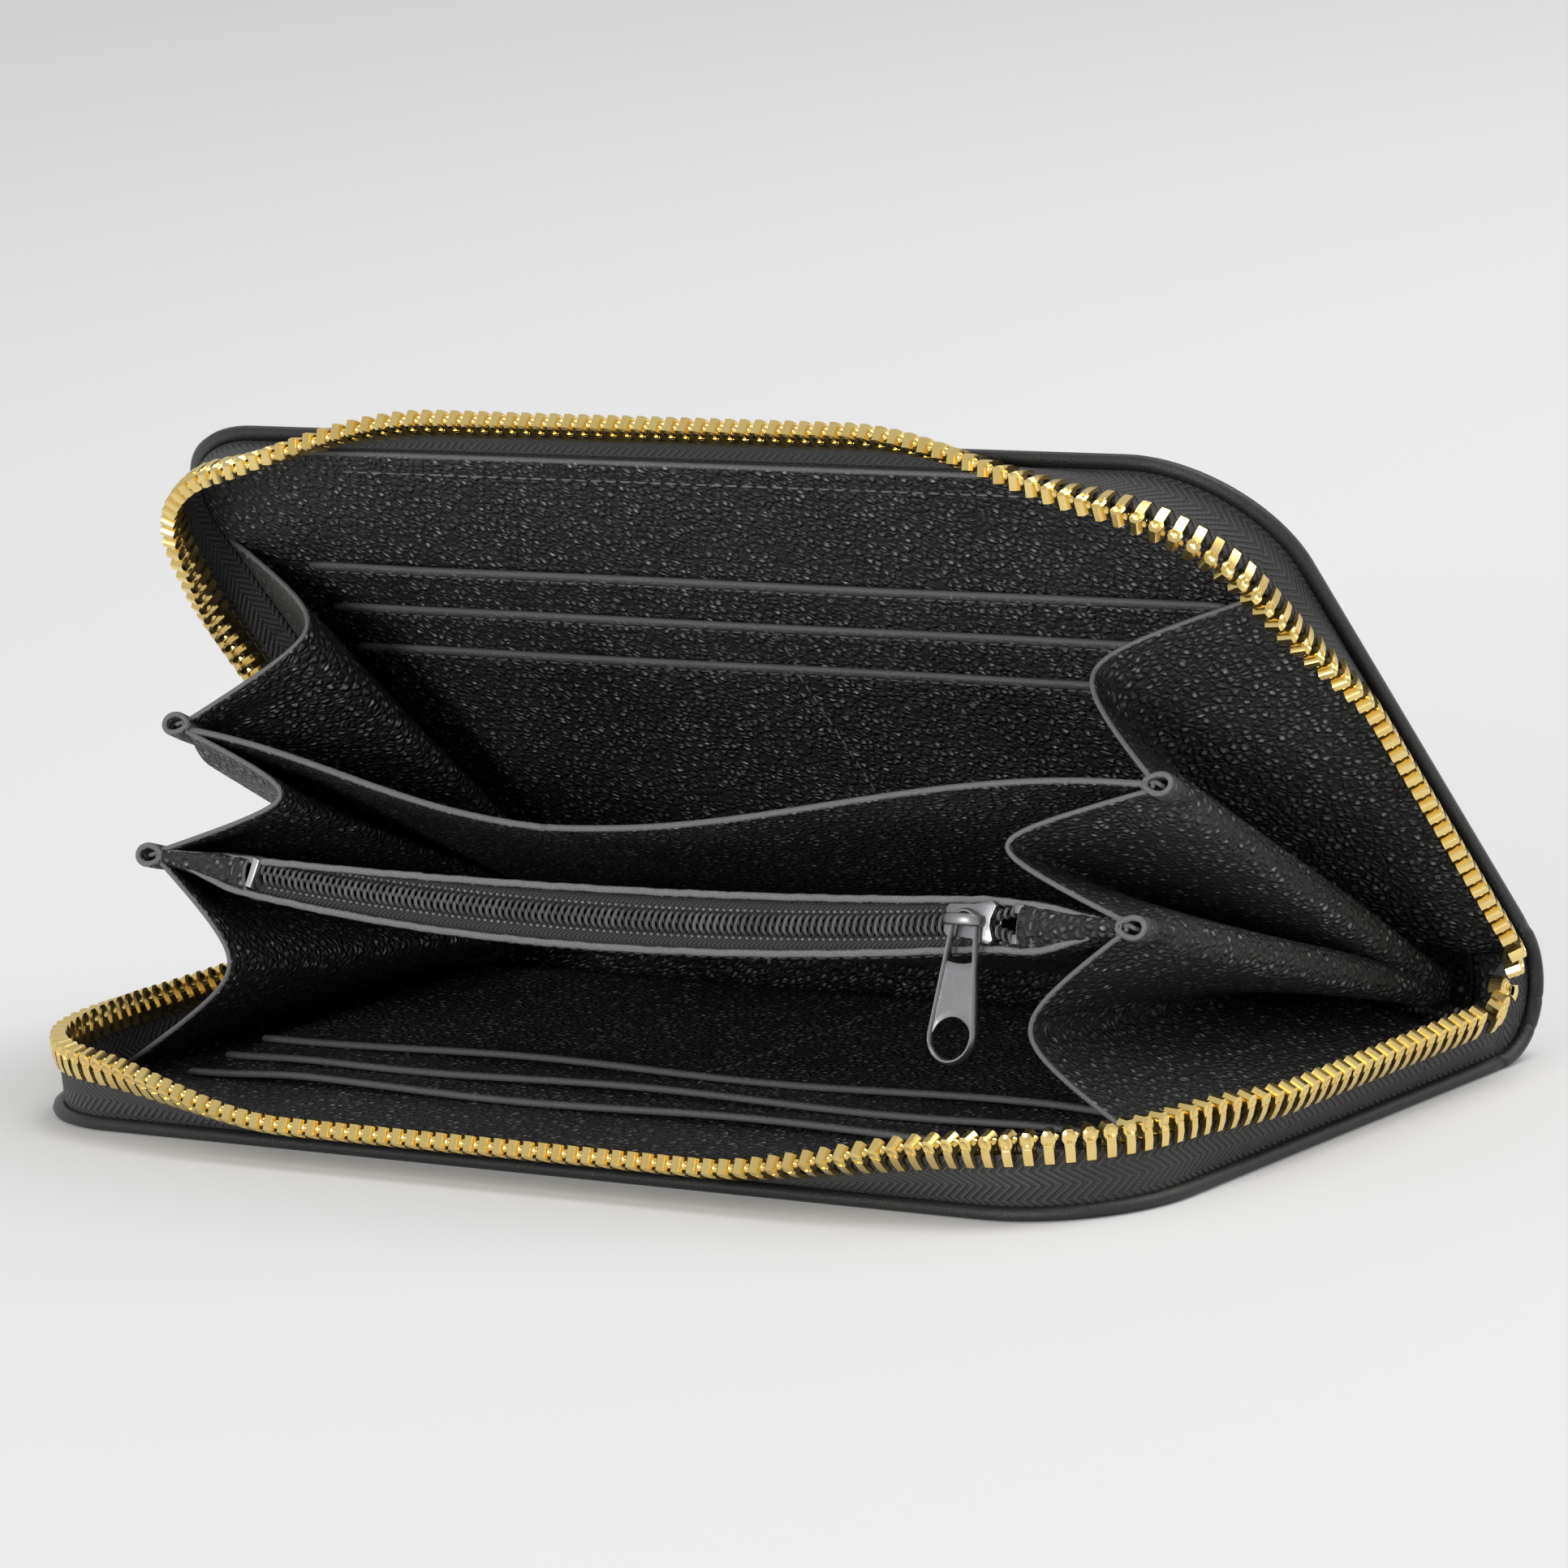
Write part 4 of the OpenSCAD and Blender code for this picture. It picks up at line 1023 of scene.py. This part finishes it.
def make_coin_cones():
    """Leather drawn together from each end of the mouth to the fold beside it."""
    for side, hand, mouth_x in ((-1, "left", -MOUTH_FROM), (1, "right", MOUTH_TO)):
        xs = np.linspace(mouth_x - 0.2, FOLD_X - FOLD_R - 0.1, 24)
        x, turn = np.meshgrid(xs, np.linspace(-1, 1, 21), indexing="ij")
        share = (x - xs[0]) / (xs[-1] - xs[0])
        x_in = side * x
        high = np.where(turn > 0, lip_over(x_in), lip_under(x_in)) * (1 - share) ** 0.85 + 0.8 * share
        bulge = 1.3 * (1 - share) + 0.9 * share - 0.35 * np.exp(-((share - 0.16) / 0.04) ** 2)
        wrinkle = 0.12 * np.sin(turn * 9 + side) * share * (1 - share) * 4
        a = turn * math.pi / 2
        d = MOUTH_D - 3.0 * np.abs(turn) ** 3 - 0.8 + (bulge + wrinkle) * np.cos(a)
        grid = coin(x_in, d, coil_line(x_in) * (1 - share) + high * np.sin(a))
        piece = sheet_piece(f"coin_pocket_{hand}_cone", facing(grid, side < 0), 0.7, "lining leather")
        on_coin_pocket(piece, f"coin_pocket_{hand}_tab")
        a = np.linspace(-1.2, 1.2, 22)
        seam_x = xs[0] + 2.0
        over = np.where(a > 0, lip_over(side * seam_x), lip_under(side * seam_x)) * 0.9
        row = coin(side * seam_x, MOUTH_D - 0.75 - 3 * np.abs(a / 1.571) ** 3 + 1.42 * np.cos(a),
                   coil_line(side * seam_x) * 0.9 + over * np.sin(a))
        on_coin_pocket(stitches(f"coin_pocket_{hand}_cone_stitches", [row], spacing=1.7, length=1.2,
                                thread=0.28))


COIL_PITCH = 1.15
COIL_WIRE, COIL_DEPTH = 0.46, 1.2
COIL_SLANT = 10                                 # degrees that a loop leans along the row
COIL_FROM, COIL_TO = MOUTH_FROM + 3.0, MOUTH_TO - 0.8


def rows_apart(x):
    """How far each row has moved from the coil's middle, past the slider."""
    return 1.3 * ease((x - SLIDER_X - 1) / 6)


def make_coin_zip():
    xs = np.linspace(MOUTH_FROM - 0.5, MOUTH_TO + 1, 71)
    for label, up, lip in (("upper", 1, lip_over), ("lower", -1, lip_under)):
        x, t = np.meshgrid(xs, np.linspace(0, 1, 9), indexing="ij")
        apart = rows_apart(x)
        z = up * ((1.5 + apart) * (1 - t) + (lip(x) - 0.75) * t)
        grid = coin(x, COIN_TAPE_D + 0.35 * np.sin(t * math.pi), coil_line(x) + z)
        on_coin_pocket(sheet_piece(f"coin_zip_{label}_cloth", facing(grid, up > 0), 0.4, "coin zip cloth"),
                       f"coin_zip_{label}_tape", slot="zip_tape_cloth")

        line_x = np.linspace(COIL_FROM + (0 if up > 0 else COIL_PITCH / 2), COIL_TO, 120)
        middle = coil_line(line_x) + (0.5 if up > 0 else -0.55) + up * rows_apart(line_x)
        line = coin(line_x, COIL_D + 0.05, middle)
        n = len(line_x)
        piece = grown(line_mesh(f"coin_zip_{label}_filament", [line],
                                [{"up": np.tile(COIN_AHEAD, (n, 1)),
                                  "along": np.tile([1, 0, 0], (n, 1))}]),
                      COIL_TREE, {"Pitch": COIL_PITCH * MM, "Height": (1.3 if up > 0 else 1.6) * MM,
                                  "Depth": COIL_DEPTH * MM, "Wire": COIL_WIRE * MM,
                                  "Slant": math.radians(COIL_SLANT * up),
                                  "Material": MATERIALS["coil"]})
        on_coin_pocket(piece, f"coin_zip_{label}_coil", slot="coil_filament")
        sewn = coin(line_x, COIN_TAPE_D + 0.45, middle + up * 1.3)
        on_coin_pocket(stitches(f"coin_zip_{label}_sewing", [sewn], spacing=COIL_PITCH, length=0.55,
                                thread=0.4, look="light thread"), slot="zip_tape_cloth")


# ---------------------------------------------------------------- solid metal pieces

def loft(rings, closed_ends=True):
    """Points and faces of rings joined in turn."""
    n = len(rings[0])
    faces = [(k * n + j, k * n + (j + 1) % n, (k + 1) * n + (j + 1) % n, (k + 1) * n + j)
             for k in range(len(rings) - 1) for j in range(n)]
    if closed_ends:
        faces += [tuple(reversed(range(n))), tuple((len(rings) - 1) * n + j for j in range(n))]
    return np.concatenate(rings), faces


def box_shell(low, high, taper=(1, 1)):
    """A box, with its top's width in x and y scaled by taper."""
    (x0, y0, z0), (x1, y1, z1) = low, high
    cx, cy = (x0 + x1) / 2, (y0 + y1) / 2
    ring = np.array([(x0, y0), (x1, y0), (x1, y1), (x0, y1)], float)
    top = (ring - (cx, cy)) * taper + (cx, cy)
    rings = [np.column_stack([ring, np.full(4, z0)]), np.column_stack([top, np.full(4, z1)])]
    return loft(rings)


def combined(shells):
    points, faces, start = [], [], 0
    for p, f in shells:
        points.append(np.asarray(p, float))
        faces += [tuple(k + start for k in face) for face in f]
        start += len(p)
    return np.concatenate(points), faces


def placed_solid(name, shells, matrix, material, round_by=0.15, segments=2):
    """Solids in millimetres, rounded, put in place by a 4 x 4 matrix in metres."""
    points, faces = combined(shells)
    points = points * MM @ np.array(matrix.to_3x3()).T + np.array(matrix.translation)
    piece = mesh_object(name, points, faces, material)
    return bevelled(piece, round_by, segments) if round_by else piece


def axes_matrix(origin, x, y, z):
    m = Matrix.Identity(4)
    for k, axis in enumerate((x, y, z)):
        for row in range(3):
            m[row][k] = float(axis[row])
    m.translation = Vector([float(v) for v in origin])
    return m


def make_tooth():
    """One tooth at the origin: row along X, tape across Y, head up Z, the tape's edge at z 0."""
    shells = []
    outline = np.array([(-0.6, 0.6), (-0.64, 1.3), (-0.95, 1.9), (-0.88, 2.7), (-0.4, 3.3),
                        (0.4, 3.3), (0.88, 2.7), (0.95, 1.9), (0.64, 1.3), (0.6, 0.6)])
    middle = np.array([0, 2.0])
    rings = []
    for y, size in ((-0.92, 0.25), (-1.22, 0.66), (-1.02, 1.0), (1.02, 1.0), (1.22, 0.66), (0.92, 0.25)):
        flat = middle + (outline - middle) * size
        rings.append(np.column_stack([flat[:, 0], np.full(10, y), flat[:, 1]]))
    shells.append(loft(rings))
    for s in (-1, 1):                           # two legs clamped on the tape's corded edge
        legs = []
        for z, y, half_x, half_y in ((-1.35, 0.5, 0.48, 0.14), (-1.1, 0.68, 0.6, 0.27),
                                     (0.2, 0.9, 0.64, 0.3), (1.5, 0.9, 0.62, 0.3)):
            ring = np.array([(-half_x, s * y - half_y, z), (half_x, s * y - half_y, z),
                             (half_x, s * y + half_y, z), (-half_x, s * y + half_y, z)])
            legs.append(ring)
        shells.append(loft(legs))
    boss = []                                   # boss on the head that fits the next tooth's hollow
    for x, r in ((0.6, 0.72), (1.12, 0.6), (1.34, 0.3)):
        a = np.linspace(0, 2 * math.pi, 8)[:-1]
        boss.append(np.column_stack([np.full(7, x), r * np.cos(a), 2.2 + r * 0.8 * np.sin(a)]))
    shells.append(loft(boss))
    points, faces = combined(shells)
    return mesh_object("tooth_pattern", points * MM, faces, "brass", smooth=False)


def rounded_copy(node, look, width):
    """A CAD node's shape with its edges rounded."""
    source = frame["nodes"][node].data
    points = np.array([v.co for v in source.vertices])
    piece = mesh_object(node + "_shape", points, [tuple(p.vertices) for p in source.polygons], look)
    return bevelled(piece, width)


def swept(centre_line, normal, half_u, half_w, steps=10, closed=False):
    """Points and faces of an oval bar along a line that lies across normal."""
    line = np.asarray(centre_line, float)
    ahead = np.roll(line, -1, 0) - np.roll(line, 1, 0)
    if not closed:
        ahead[0], ahead[-1] = line[1] - line[0], line[-1] - line[-2]
    out = unit(np.cross(unit(ahead), normal))
    a = np.linspace(0, 2 * math.pi, steps + 1)[:-1]
    rings = [p + np.cos(a)[:, None] * half_u * o + np.sin(a)[:, None] * half_w * np.asarray(normal, float)
             for p, o in zip(line, out)]
    points, faces = loft(rings, closed_ends=not closed)
    if closed:
        n, last = steps, len(rings) - 1
        faces += [(last * n + j, last * n + (j + 1) % n, (j + 1) % n, j) for j in range(n)]
    return points, faces


PULL_TOP, PULL_END = 2.25, 3.8                  # radii of the pull's two ends
PULL_MID = 15.2                                 # depth of the lower end's middle under the pivot


def pull_outline(inset):
    """Outline of the coin zip pull: (across, down), narrow at its top and round at its end."""
    a = np.linspace(0, math.pi, 13)
    top, end = PULL_TOP - inset, PULL_END - inset
    upper = np.column_stack([top * np.cos(a), 0.6 - top * np.sin(a)])
    lower = np.column_stack([-end * np.cos(a), PULL_MID + end * np.sin(a)])
    return np.concatenate([upper, lower])


def make_coin_pull():
    """The pull's raised rim, with a sunk plate between its eye and the hole at its end."""
    frame_at = axes_matrix(coin(PULL_PIVOT[0], PULL_PIVOT[1], SLIDER_Z + PULL_PIVOT[2] - COIN_Z),
                           (1, 0, 0), -COIN_UP, -COIN_AHEAD)
    rim = np.column_stack([pull_outline(0.38), np.zeros(26)])
    shells = [swept(rim, (0, 0, 1), 0.36, 0.72, closed=True)]
    hole = PULL_END - 0.9
    share, down = np.meshgrid(np.linspace(-1, 1, 15), np.linspace(0, 1, 9), indexing="ij")
    low = PULL_MID - np.sqrt(np.maximum(hole ** 2 - (share * hole) ** 2, 0)) * 0.95
    v = 5.6 + 0.35 * (1 - share ** 2) + down * (low - 5.6 - 0.35 * (1 - share ** 2))
    half = PULL_TOP - 0.5 + (PULL_END - PULL_TOP) * np.clip(v - 0.6, 0, None) / (PULL_MID - 0.6)
    plate = sheet_shell(np.stack([share * half, v, np.full_like(v, 0.0)], -1) * MM, 0.6)
    shells.append((plate[0] / MM, plate[1]))
    piece = placed_solid("coin_zip_pull_shape", shells, frame_at, "gunmetal", round_by=0)
    piece.data.set_sharp_from_angle(angle=math.radians(40))
    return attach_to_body(finish_piece(piece, "satin_gunmetal", "coin_zip_pull"), "coin_pull")


def make_coin_slider():
    """Two plates round the coil, wider where the rows part, and the bridge that holds the pull."""
    frame_at = axes_matrix(coin(SLIDER_X, COIL_D, SLIDER_Z), (1, 0, 0), COIN_UP, COIN_AHEAD)
    wide, slim = 2.9, 2.1
    outline = np.array([(-4, -slim + 0.5), (-3.5, -slim), (0.5, -slim - 0.2), (3.3, -wide),
                        (4, -wide + 0.6), (3.3, -0.5), (3.3, 0.5), (4, wide - 0.6), (3.3, wide),
                        (0.5, slim + 0.2), (-3.5, slim), (-4, slim - 0.5)])
    shells = []
    for z0, z1 in ((0.85, 1.6), (-1.6, -0.9)):
        shells.append(loft([np.column_stack([outline, np.full(12, z)]) for z in (z0, z1)]))
    for s in (-1, 1):                           # turned-in edges
        wall = np.array([(-3.6, s * (slim - 0.05)), (0.5, s * (slim + 0.15)), (3.4, s * (wide - 0.1)),
                         (3.4, s * (wide - 0.55)), (0.5, s * (slim - 0.3)), (-3.6, s * (slim - 0.5))])[::s]
        shells.append(loft([np.column_stack([wall, np.full(6, z)]) for z in (-0.5, 1.4)]))
    a = np.linspace(0, math.pi, 15)
    arch = np.column_stack([-0.4 - 2.7 * np.cos(a), np.zeros(15), 1.4 + 2.5 * np.sin(a) ** 0.6])
    shells.append(swept(arch, (0, 1, 0), 0.36, 0.85, steps=8))
    piece = placed_solid("coin_zip_slider_shape", shells, frame_at, "gunmetal", 0.14)
    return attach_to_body(finish_piece(piece, "satin_gunmetal", "coin_zip_slider"), "coin_slider")


CLIP_TILT = 14                                  # degrees that the bottom clip leans over


def make_coin_stops():
    """A bright clip over the closed end of the coil, and a small one on each row's open end."""
    tip = math.radians(CLIP_TILT)
    up = at(COIN, math.sin(tip), 0, math.cos(tip)) - at(COIN, 0, 0, 0)
    across = at(COIN, math.cos(tip), 0, -math.sin(tip)) - at(COIN, 0, 0, 0)
    x = MOUTH_FROM + 1.7
    place = axes_matrix(coin(x, COIL_D, float(coil_line(x))), unit(across), unit(up), COIN_AHEAD)
    clip = [box_shell((-0.8, -2.4, -0.9), (0.8, 2.0, 1.3), (0.7, 0.95))]
    piece = placed_solid("coin_zip_bottom_clip", clip, place, "bright steel", 0.2)
    on_coin_pocket(piece, "coin_zip_bottom_stop", slot="bright_steel")
    clips = []
    for s in (-1, 1):
        clips.append(box_shell((-0.9, s * 2.0 - 0.8, -0.8), (0.9, s * 2.0 + 0.8, 1.0), (0.8, 0.8)))
    x = COIL_TO
    place = axes_matrix(coin(x, COIL_D, float(coil_line(x))), (1, 0, 0), COIN_UP, COIN_AHEAD)
    piece = placed_solid("coin_zip_top_clips", clips, place, "gunmetal", 0.2)
    on_coin_pocket(piece, "coin_zip_top_stops", slot="satin_gunmetal")


def make_main_metal():
    for node, body, width in (("main_zip_slider", "main_slider", 0.22),
                              ("main_zip_pull", "main_pull", 0.2)):
        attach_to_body(finish_piece(rounded_copy(node, "brass", width), "polished_brass", node), body)


def teeth_at(name, places, tooth, node, body):
    """Single teeth at (origin, along, up) in the row frame, as one piece."""
    source = np.array([v.co for v in tooth.data.vertices])
    polygons = [tuple(p.vertices) for p in tooth.data.polygons]
    points, faces = [], []
    for k, (origin, along, up) in enumerate(places):
        x, z = unit(np.asarray(along, float)), unit(np.asarray(up, float))
        turn = np.stack([x, np.cross(z, x), z])
        points.append(source @ turn + origin)
        faces += [tuple(i + k * len(source) for i in f) for f in polygons]
    piece = mesh_object(name, np.concatenate(points), faces, "brass", smooth=False)
    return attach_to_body(finish_piece(piece, "polished_brass", node), body)


def make_row_ends(tooth):
    """The last teeth of each row, and three that join the rows at the end of the spine."""
    for name, c in COVERS.items():
        places = []
        for s in (PATH_L - 5.4, PATH_L - 2.9):
            foot, along, _, rise = tape_frame(s, name)
            flip = np.array([1, 1, c["up"]])
            places.append((at(c["angle"], *((foot + rise * TAPE_H) * flip)),
                           row_vector(c["angle"], along * flip), row_vector(c["angle"], rise * flip)))
        teeth_at(f"{name}_last_teeth", places, tooth, f"{name}_top_stop", name + "_cover")
    box = closed_box("zip_bottom_stop", HALF_OPEN)
    x = (box[0][0] + box[1][0]) / 2
    places = []
    for share in (0.22, 0.5, 0.78):
        angle = OPEN * share
        along, up = row_vector(angle, np.array([0, 0, 1])), row_vector(angle, np.array([0, 1, 0]))
        places.append((at(angle, x + 2.2, -1.0, 0), along, up))
    teeth_at("joining_teeth", places, tooth, "zip_bottom_stop", "zip_ends")


def path(s):
    """(x, d, heading in radians) of the zip at arc length s from the left end of the spine."""
    side = TAPE_D - TAPE_CORNER
    turn = math.pi * TAPE_CORNER / 2
    front = 2 * (TAPE_X - TAPE_CORNER)
    total = 2 * side + 2 * turn + front
    if s > total / 2:
        x, d, heading = path(total - s)
        return -x, d, -heading
    if s < side:
        return -TAPE_X, s, -math.pi / 2
    if s < side + turn:
        a = (s - side) / TAPE_CORNER
        return (-TAPE_X + TAPE_CORNER - TAPE_CORNER * math.cos(a), side + TAPE_CORNER * math.sin(a),
                a - math.pi / 2)
    return -TAPE_X + TAPE_CORNER + s - side - turn, TAPE_D, 0.0


PATH_L = 2 * (TAPE_D - TAPE_CORNER) + math.pi * TAPE_CORNER + 2 * (TAPE_X - TAPE_CORNER)
FRONT_FULL = 35                                 # the front lean is full inside this distance
SIDE_CORNER = TAPE_D - TAPE_CORNER + 6          # the side lean starts at this depth,
SIDE_FRONT = SIDE_CORNER - 28                   # is full from here
SIDE_BACK = (30, 20)                            # to here, left and right,
SIDE_END = (14, 3)                              # and has gone here; the teeth of the right side
SHOWN_RIGHT = (6, -4)                           # keep their lean to the first of these, none at the second
LEANS = {name: (travel(f"{name}_zip_front_lean"), travel(f"{name}_left_zip_lean")) for name in COVERS}


def lean(x, d, name):
    front, side = LEANS[name]
    full, gone = (SIDE_BACK[0], SIDE_END[0]) if x < 0 else SHOWN_RIGHT
    front_share = ease((TAPE_X - abs(x)) / (TAPE_X - FRONT_FULL))
    side_share = min(ease((SIDE_CORNER - d) / (SIDE_CORNER - SIDE_FRONT)),
                     ease((d - gone) / (full - gone)))
    return math.radians(front * front_share + side * side_share)


def tape_frame(s, name):
    """Foot of the tape, its directions along and out, and its own rise and face, all closed."""
    x, d, heading = path(s)
    along = np.array([math.cos(heading), -math.sin(heading), 0.0])   # (x, d, z)
    out = np.array([math.sin(heading), math.cos(heading), 0.0])
    f = lean(x, d, name)
    rise = out * math.sin(f) + np.array([0, 0, math.cos(f)])
    return np.array([x, d, PIVOT_Z]), along, out, rise


def row_vector(angle, v):
    return at(angle, v[..., 0], v[..., 1], v[..., 2]) - HINGE


MID_S = PATH_L / 2


def corner_s():
    """Arc length at which the side lean has gone, in the corner."""
    side = TAPE_D - TAPE_CORNER
    return side + TAPE_CORNER * math.asin((SIDE_CORNER - side) / TAPE_CORNER)


TEETH_FROM, TEETH_TO = 17.0, PATH_L - 8.0       # arc lengths between which the rows have teeth


def zip_sections(name):
    """(label, from, to, body or (first, second, start, end)) of the tape, in order along the zip."""
    cover = name + "_cover"
    place = lambda x, d: (x, d, PIVOT_Z)
    left, right, front = name + "_left_zip", name + "_right_zip", name + "_zip_front"
    c = corner_s()
    return [
        ("left_end", 0.4, SIDE_BACK[0], (cover, left, place(0, SIDE_END[0]), place(0, SIDE_BACK[0]))),
        ("left_side", SIDE_BACK[0], SIDE_FRONT, left),
        ("left_corner", SIDE_FRONT, c, (left, cover, place(0, SIDE_FRONT), place(0, SIDE_CORNER))),
        ("left_front", c, MID_S - FRONT_FULL, (cover, front, place(-TAPE_X, 0), place(-FRONT_FULL, 0))),
        ("front", MID_S - FRONT_FULL, MID_S + FRONT_FULL, front),
        ("right_front", MID_S + FRONT_FULL, PATH_L - c,
         (front, cover, place(FRONT_FULL, 0), place(TAPE_X, 0))),
        ("right_corner", PATH_L - c, PATH_L - SIDE_FRONT,
         (cover, right, place(0, SIDE_CORNER), place(0, SIDE_FRONT))),
        ("right_side", PATH_L - SIDE_FRONT, PATH_L - SIDE_BACK[1], right),
        ("right_end", PATH_L - SIDE_BACK[1], PATH_L - 0.4,
         (right, cover, place(0, SIDE_BACK[1]), place(0, SIDE_END[1]))),
    ]


def attach(piece, hold, c):
    """Rides piece on a body; a piece held between two bodies, whose start and end are closed points, has
    its place baked into its mesh.
    """
    if isinstance(hold, str):
        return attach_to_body(piece, hold)
    first, second, start, end = hold
    ends = [tuple(at(c["angle"], p[0], p[1], p[2] * c["up"])) for p in (start, end)]
    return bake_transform(piece)


def section_node(name, label, kind):
    """CAD node of a section's tape or teeth: the leaning sections have nodes of their own."""
    hand = {"left_side": "_left", "right_side": "_right", "front": "_front"}.get(label, "")
    return f"{name}{hand}_zip_{kind}"


def make_main_zip(name, c, tooth):
    shift = 0.5 * c["fold"]
    for label, start, end, hold in zip_sections(name):
        ss = np.linspace(start, end, max(3, int((end - start) / 1.6)))
        rows = []
        heights = np.concatenate([[-0.35, 0.0, 0.35, 0.8], np.linspace(1.4, TAPE_H, 8)])
        for s in ss:
            foot, _, out, rise = tape_frame(s, name)
            inside = foot - out * 1.2 + np.array([0, 0, -0.32])
            line = [inside]
            for h in heights:
                bend = max(0.0, min(1.0, (h + 0.35) / 1.2))
                line.append(foot + rise * h * bend + np.array([0, 0, 1.0]) * h * (1 - bend) * 0.4)
            rows.append(line)
        grid = np.array(rows)
        grid[..., 2] *= c["up"]
        grid = at(c["angle"], grid[..., 0], grid[..., 1], grid[..., 2])
        piece = sheet_piece(f"{name}_zip_cloth_{label}", facing(grid, c["up"] > 0), TAPE_T,
                            "main zip cloth")
        attach(finish_piece(piece, "zip_tape_cloth", section_node(name, label, "tape")), hold, c)

        # corded edge of the tape and the teeth that are clamped on it
        first = max(0, math.ceil((start - TEETH_FROM) / TOOTH_PITCH - shift))
        last = math.ceil((min(end, TEETH_TO) - TEETH_FROM) / TOOTH_PITCH - shift) - 1
        if last <= first:
            continue
        spots = TEETH_FROM + (np.arange(first, last + 1) + shift) * TOOTH_PITCH
        frames = [tape_frame(s, name) for s in spots]
        line = np.array([foot + rise * (TAPE_H + 0.05) for foot, _, _, rise in frames])
        line[:, 2] *= c["up"]
        directions = {}
        for key, pick in (("up", 3), ("along", 1)):
            v = np.array([f[pick] for f in frames])
            v[:, 2] *= c["up"]
            directions[key] = row_vector(c["angle"], v) / MM
        line = at(c["angle"], line[:, 0], line[:, 1], line[:, 2])
        piece = grown(line_mesh(f"{name}_zip_teeth_{label}", [line], [directions]), TOOTH_TREE, {
            "Pitch": TOOTH_PITCH * MM * 0.985, "Tooth": tooth, "Material": MATERIALS["brass"]})
        attach(finish_piece(piece, "polished_brass", section_node(name, label, "teeth")), hold, c)


for name, c in COVERS.items():
    make_cover(name, c)
    make_pockets(name, c)
make_spine()
make_tape_ends()
make_gussets()
make_folds()
make_divider()
make_coin_leathers()
make_coin_cones()
make_coin_zip()
make_coin_slider()
make_coin_pull()
make_coin_stops()
make_main_metal()
tooth_pattern = make_tooth()
for name, c in COVERS.items():
    make_main_zip(name, c, tooth_pattern)
make_row_ends(tooth_pattern)
bpy.data.objects.remove(tooth_pattern)

for name in COVERS:
    materials = frame["nodes"][name + "_stiffener_board"].data.materials
    materials.clear()
    materials.append(MATERIALS["board"])


# ---------------------------------------------------------------- floor, light and camera

FLOOR_HALF = 12                                 # half the floor's side, in metres


def make_floor():
    mesh = bpy.data.meshes.new("floor")
    corners = [(x * FLOOR_HALF, y * FLOOR_HALF, 0) for x, y in ((-1, -1), (1, -1), (1, 1), (-1, 1))]
    mesh.from_pydata(corners, [], [(0, 1, 2, 3)])
    floor = linked("floor", mesh)
    material, tree, shader = new_material("pale floor")
    set_inputs(tree, shader, {"Base Color": grey(0.6), "Roughness": 0.9, "Specular IOR Level": 0.1,
                              "Emission Color": grey(1.0), "Emission Strength": 0.1})
    mesh.materials.append(material)


def area_light(name, place, size, power, target=(0, 0, 0.03)):
    light = bpy.data.lights.new(name, "AREA")
    light.shape = "DISK"
    light.size = size
    light.energy = power
    lamp = linked(name, light)
    lamp.location = place
    lamp.rotation_euler = (Vector(target) - Vector(place)).to_track_quat("-Z", "Y").to_euler()


def make_world():
    world = bpy.data.worlds.new("studio")
    bpy.context.scene.world = world
    world.use_nodes = True
    back = world.node_tree.nodes["Background"]
    back.inputs[0].default_value = (0.95, 0.95, 0.95, 1)
    back.inputs[1].default_value = 0.6


CAMERA_AT = (706.38, -926.49, 244.21)           # from the hinge line's middle, in millimetres
AZIMUTH, ELEVATION, ROLL = 38.267, 10.666, -4.661
LENS, SENSOR = 193.82, 36


def make_camera():
    az, el, roll = (math.radians(v) for v in (AZIMUTH, ELEVATION, ROLL))
    back = np.array([math.sin(az) * math.cos(el), -math.cos(az) * math.cos(el), math.sin(el)])
    right0 = np.array([math.cos(az), math.sin(az), 0])
    up0 = np.cross(back, right0)
    right = right0 * math.cos(roll) + up0 * math.sin(roll)
    camera = bpy.data.cameras.new("camera")
    camera.lens = LENS
    camera.sensor_width = SENSOR
    camera.clip_start, camera.clip_end = 0.05, 50
    holder = linked("camera", camera)
    holder.matrix_world = axes_matrix(np.array(CAMERA_AT) * MM + HINGE, right, np.cross(back, right), back)
    bpy.context.scene.camera = holder


make_floor()
make_world()
area_light("key", (0.5, 0.9, 2.2), 1.7, 36, (0.1, 0.5, 0))
area_light("front", (0.1, -1.5, 0.42), 0.45, 11)
area_light("rim", (0.9, 0.8, 0.7), 0.5, 2.5)
make_camera()
bpy.context.scene.view_settings.view_transform = "Standard"
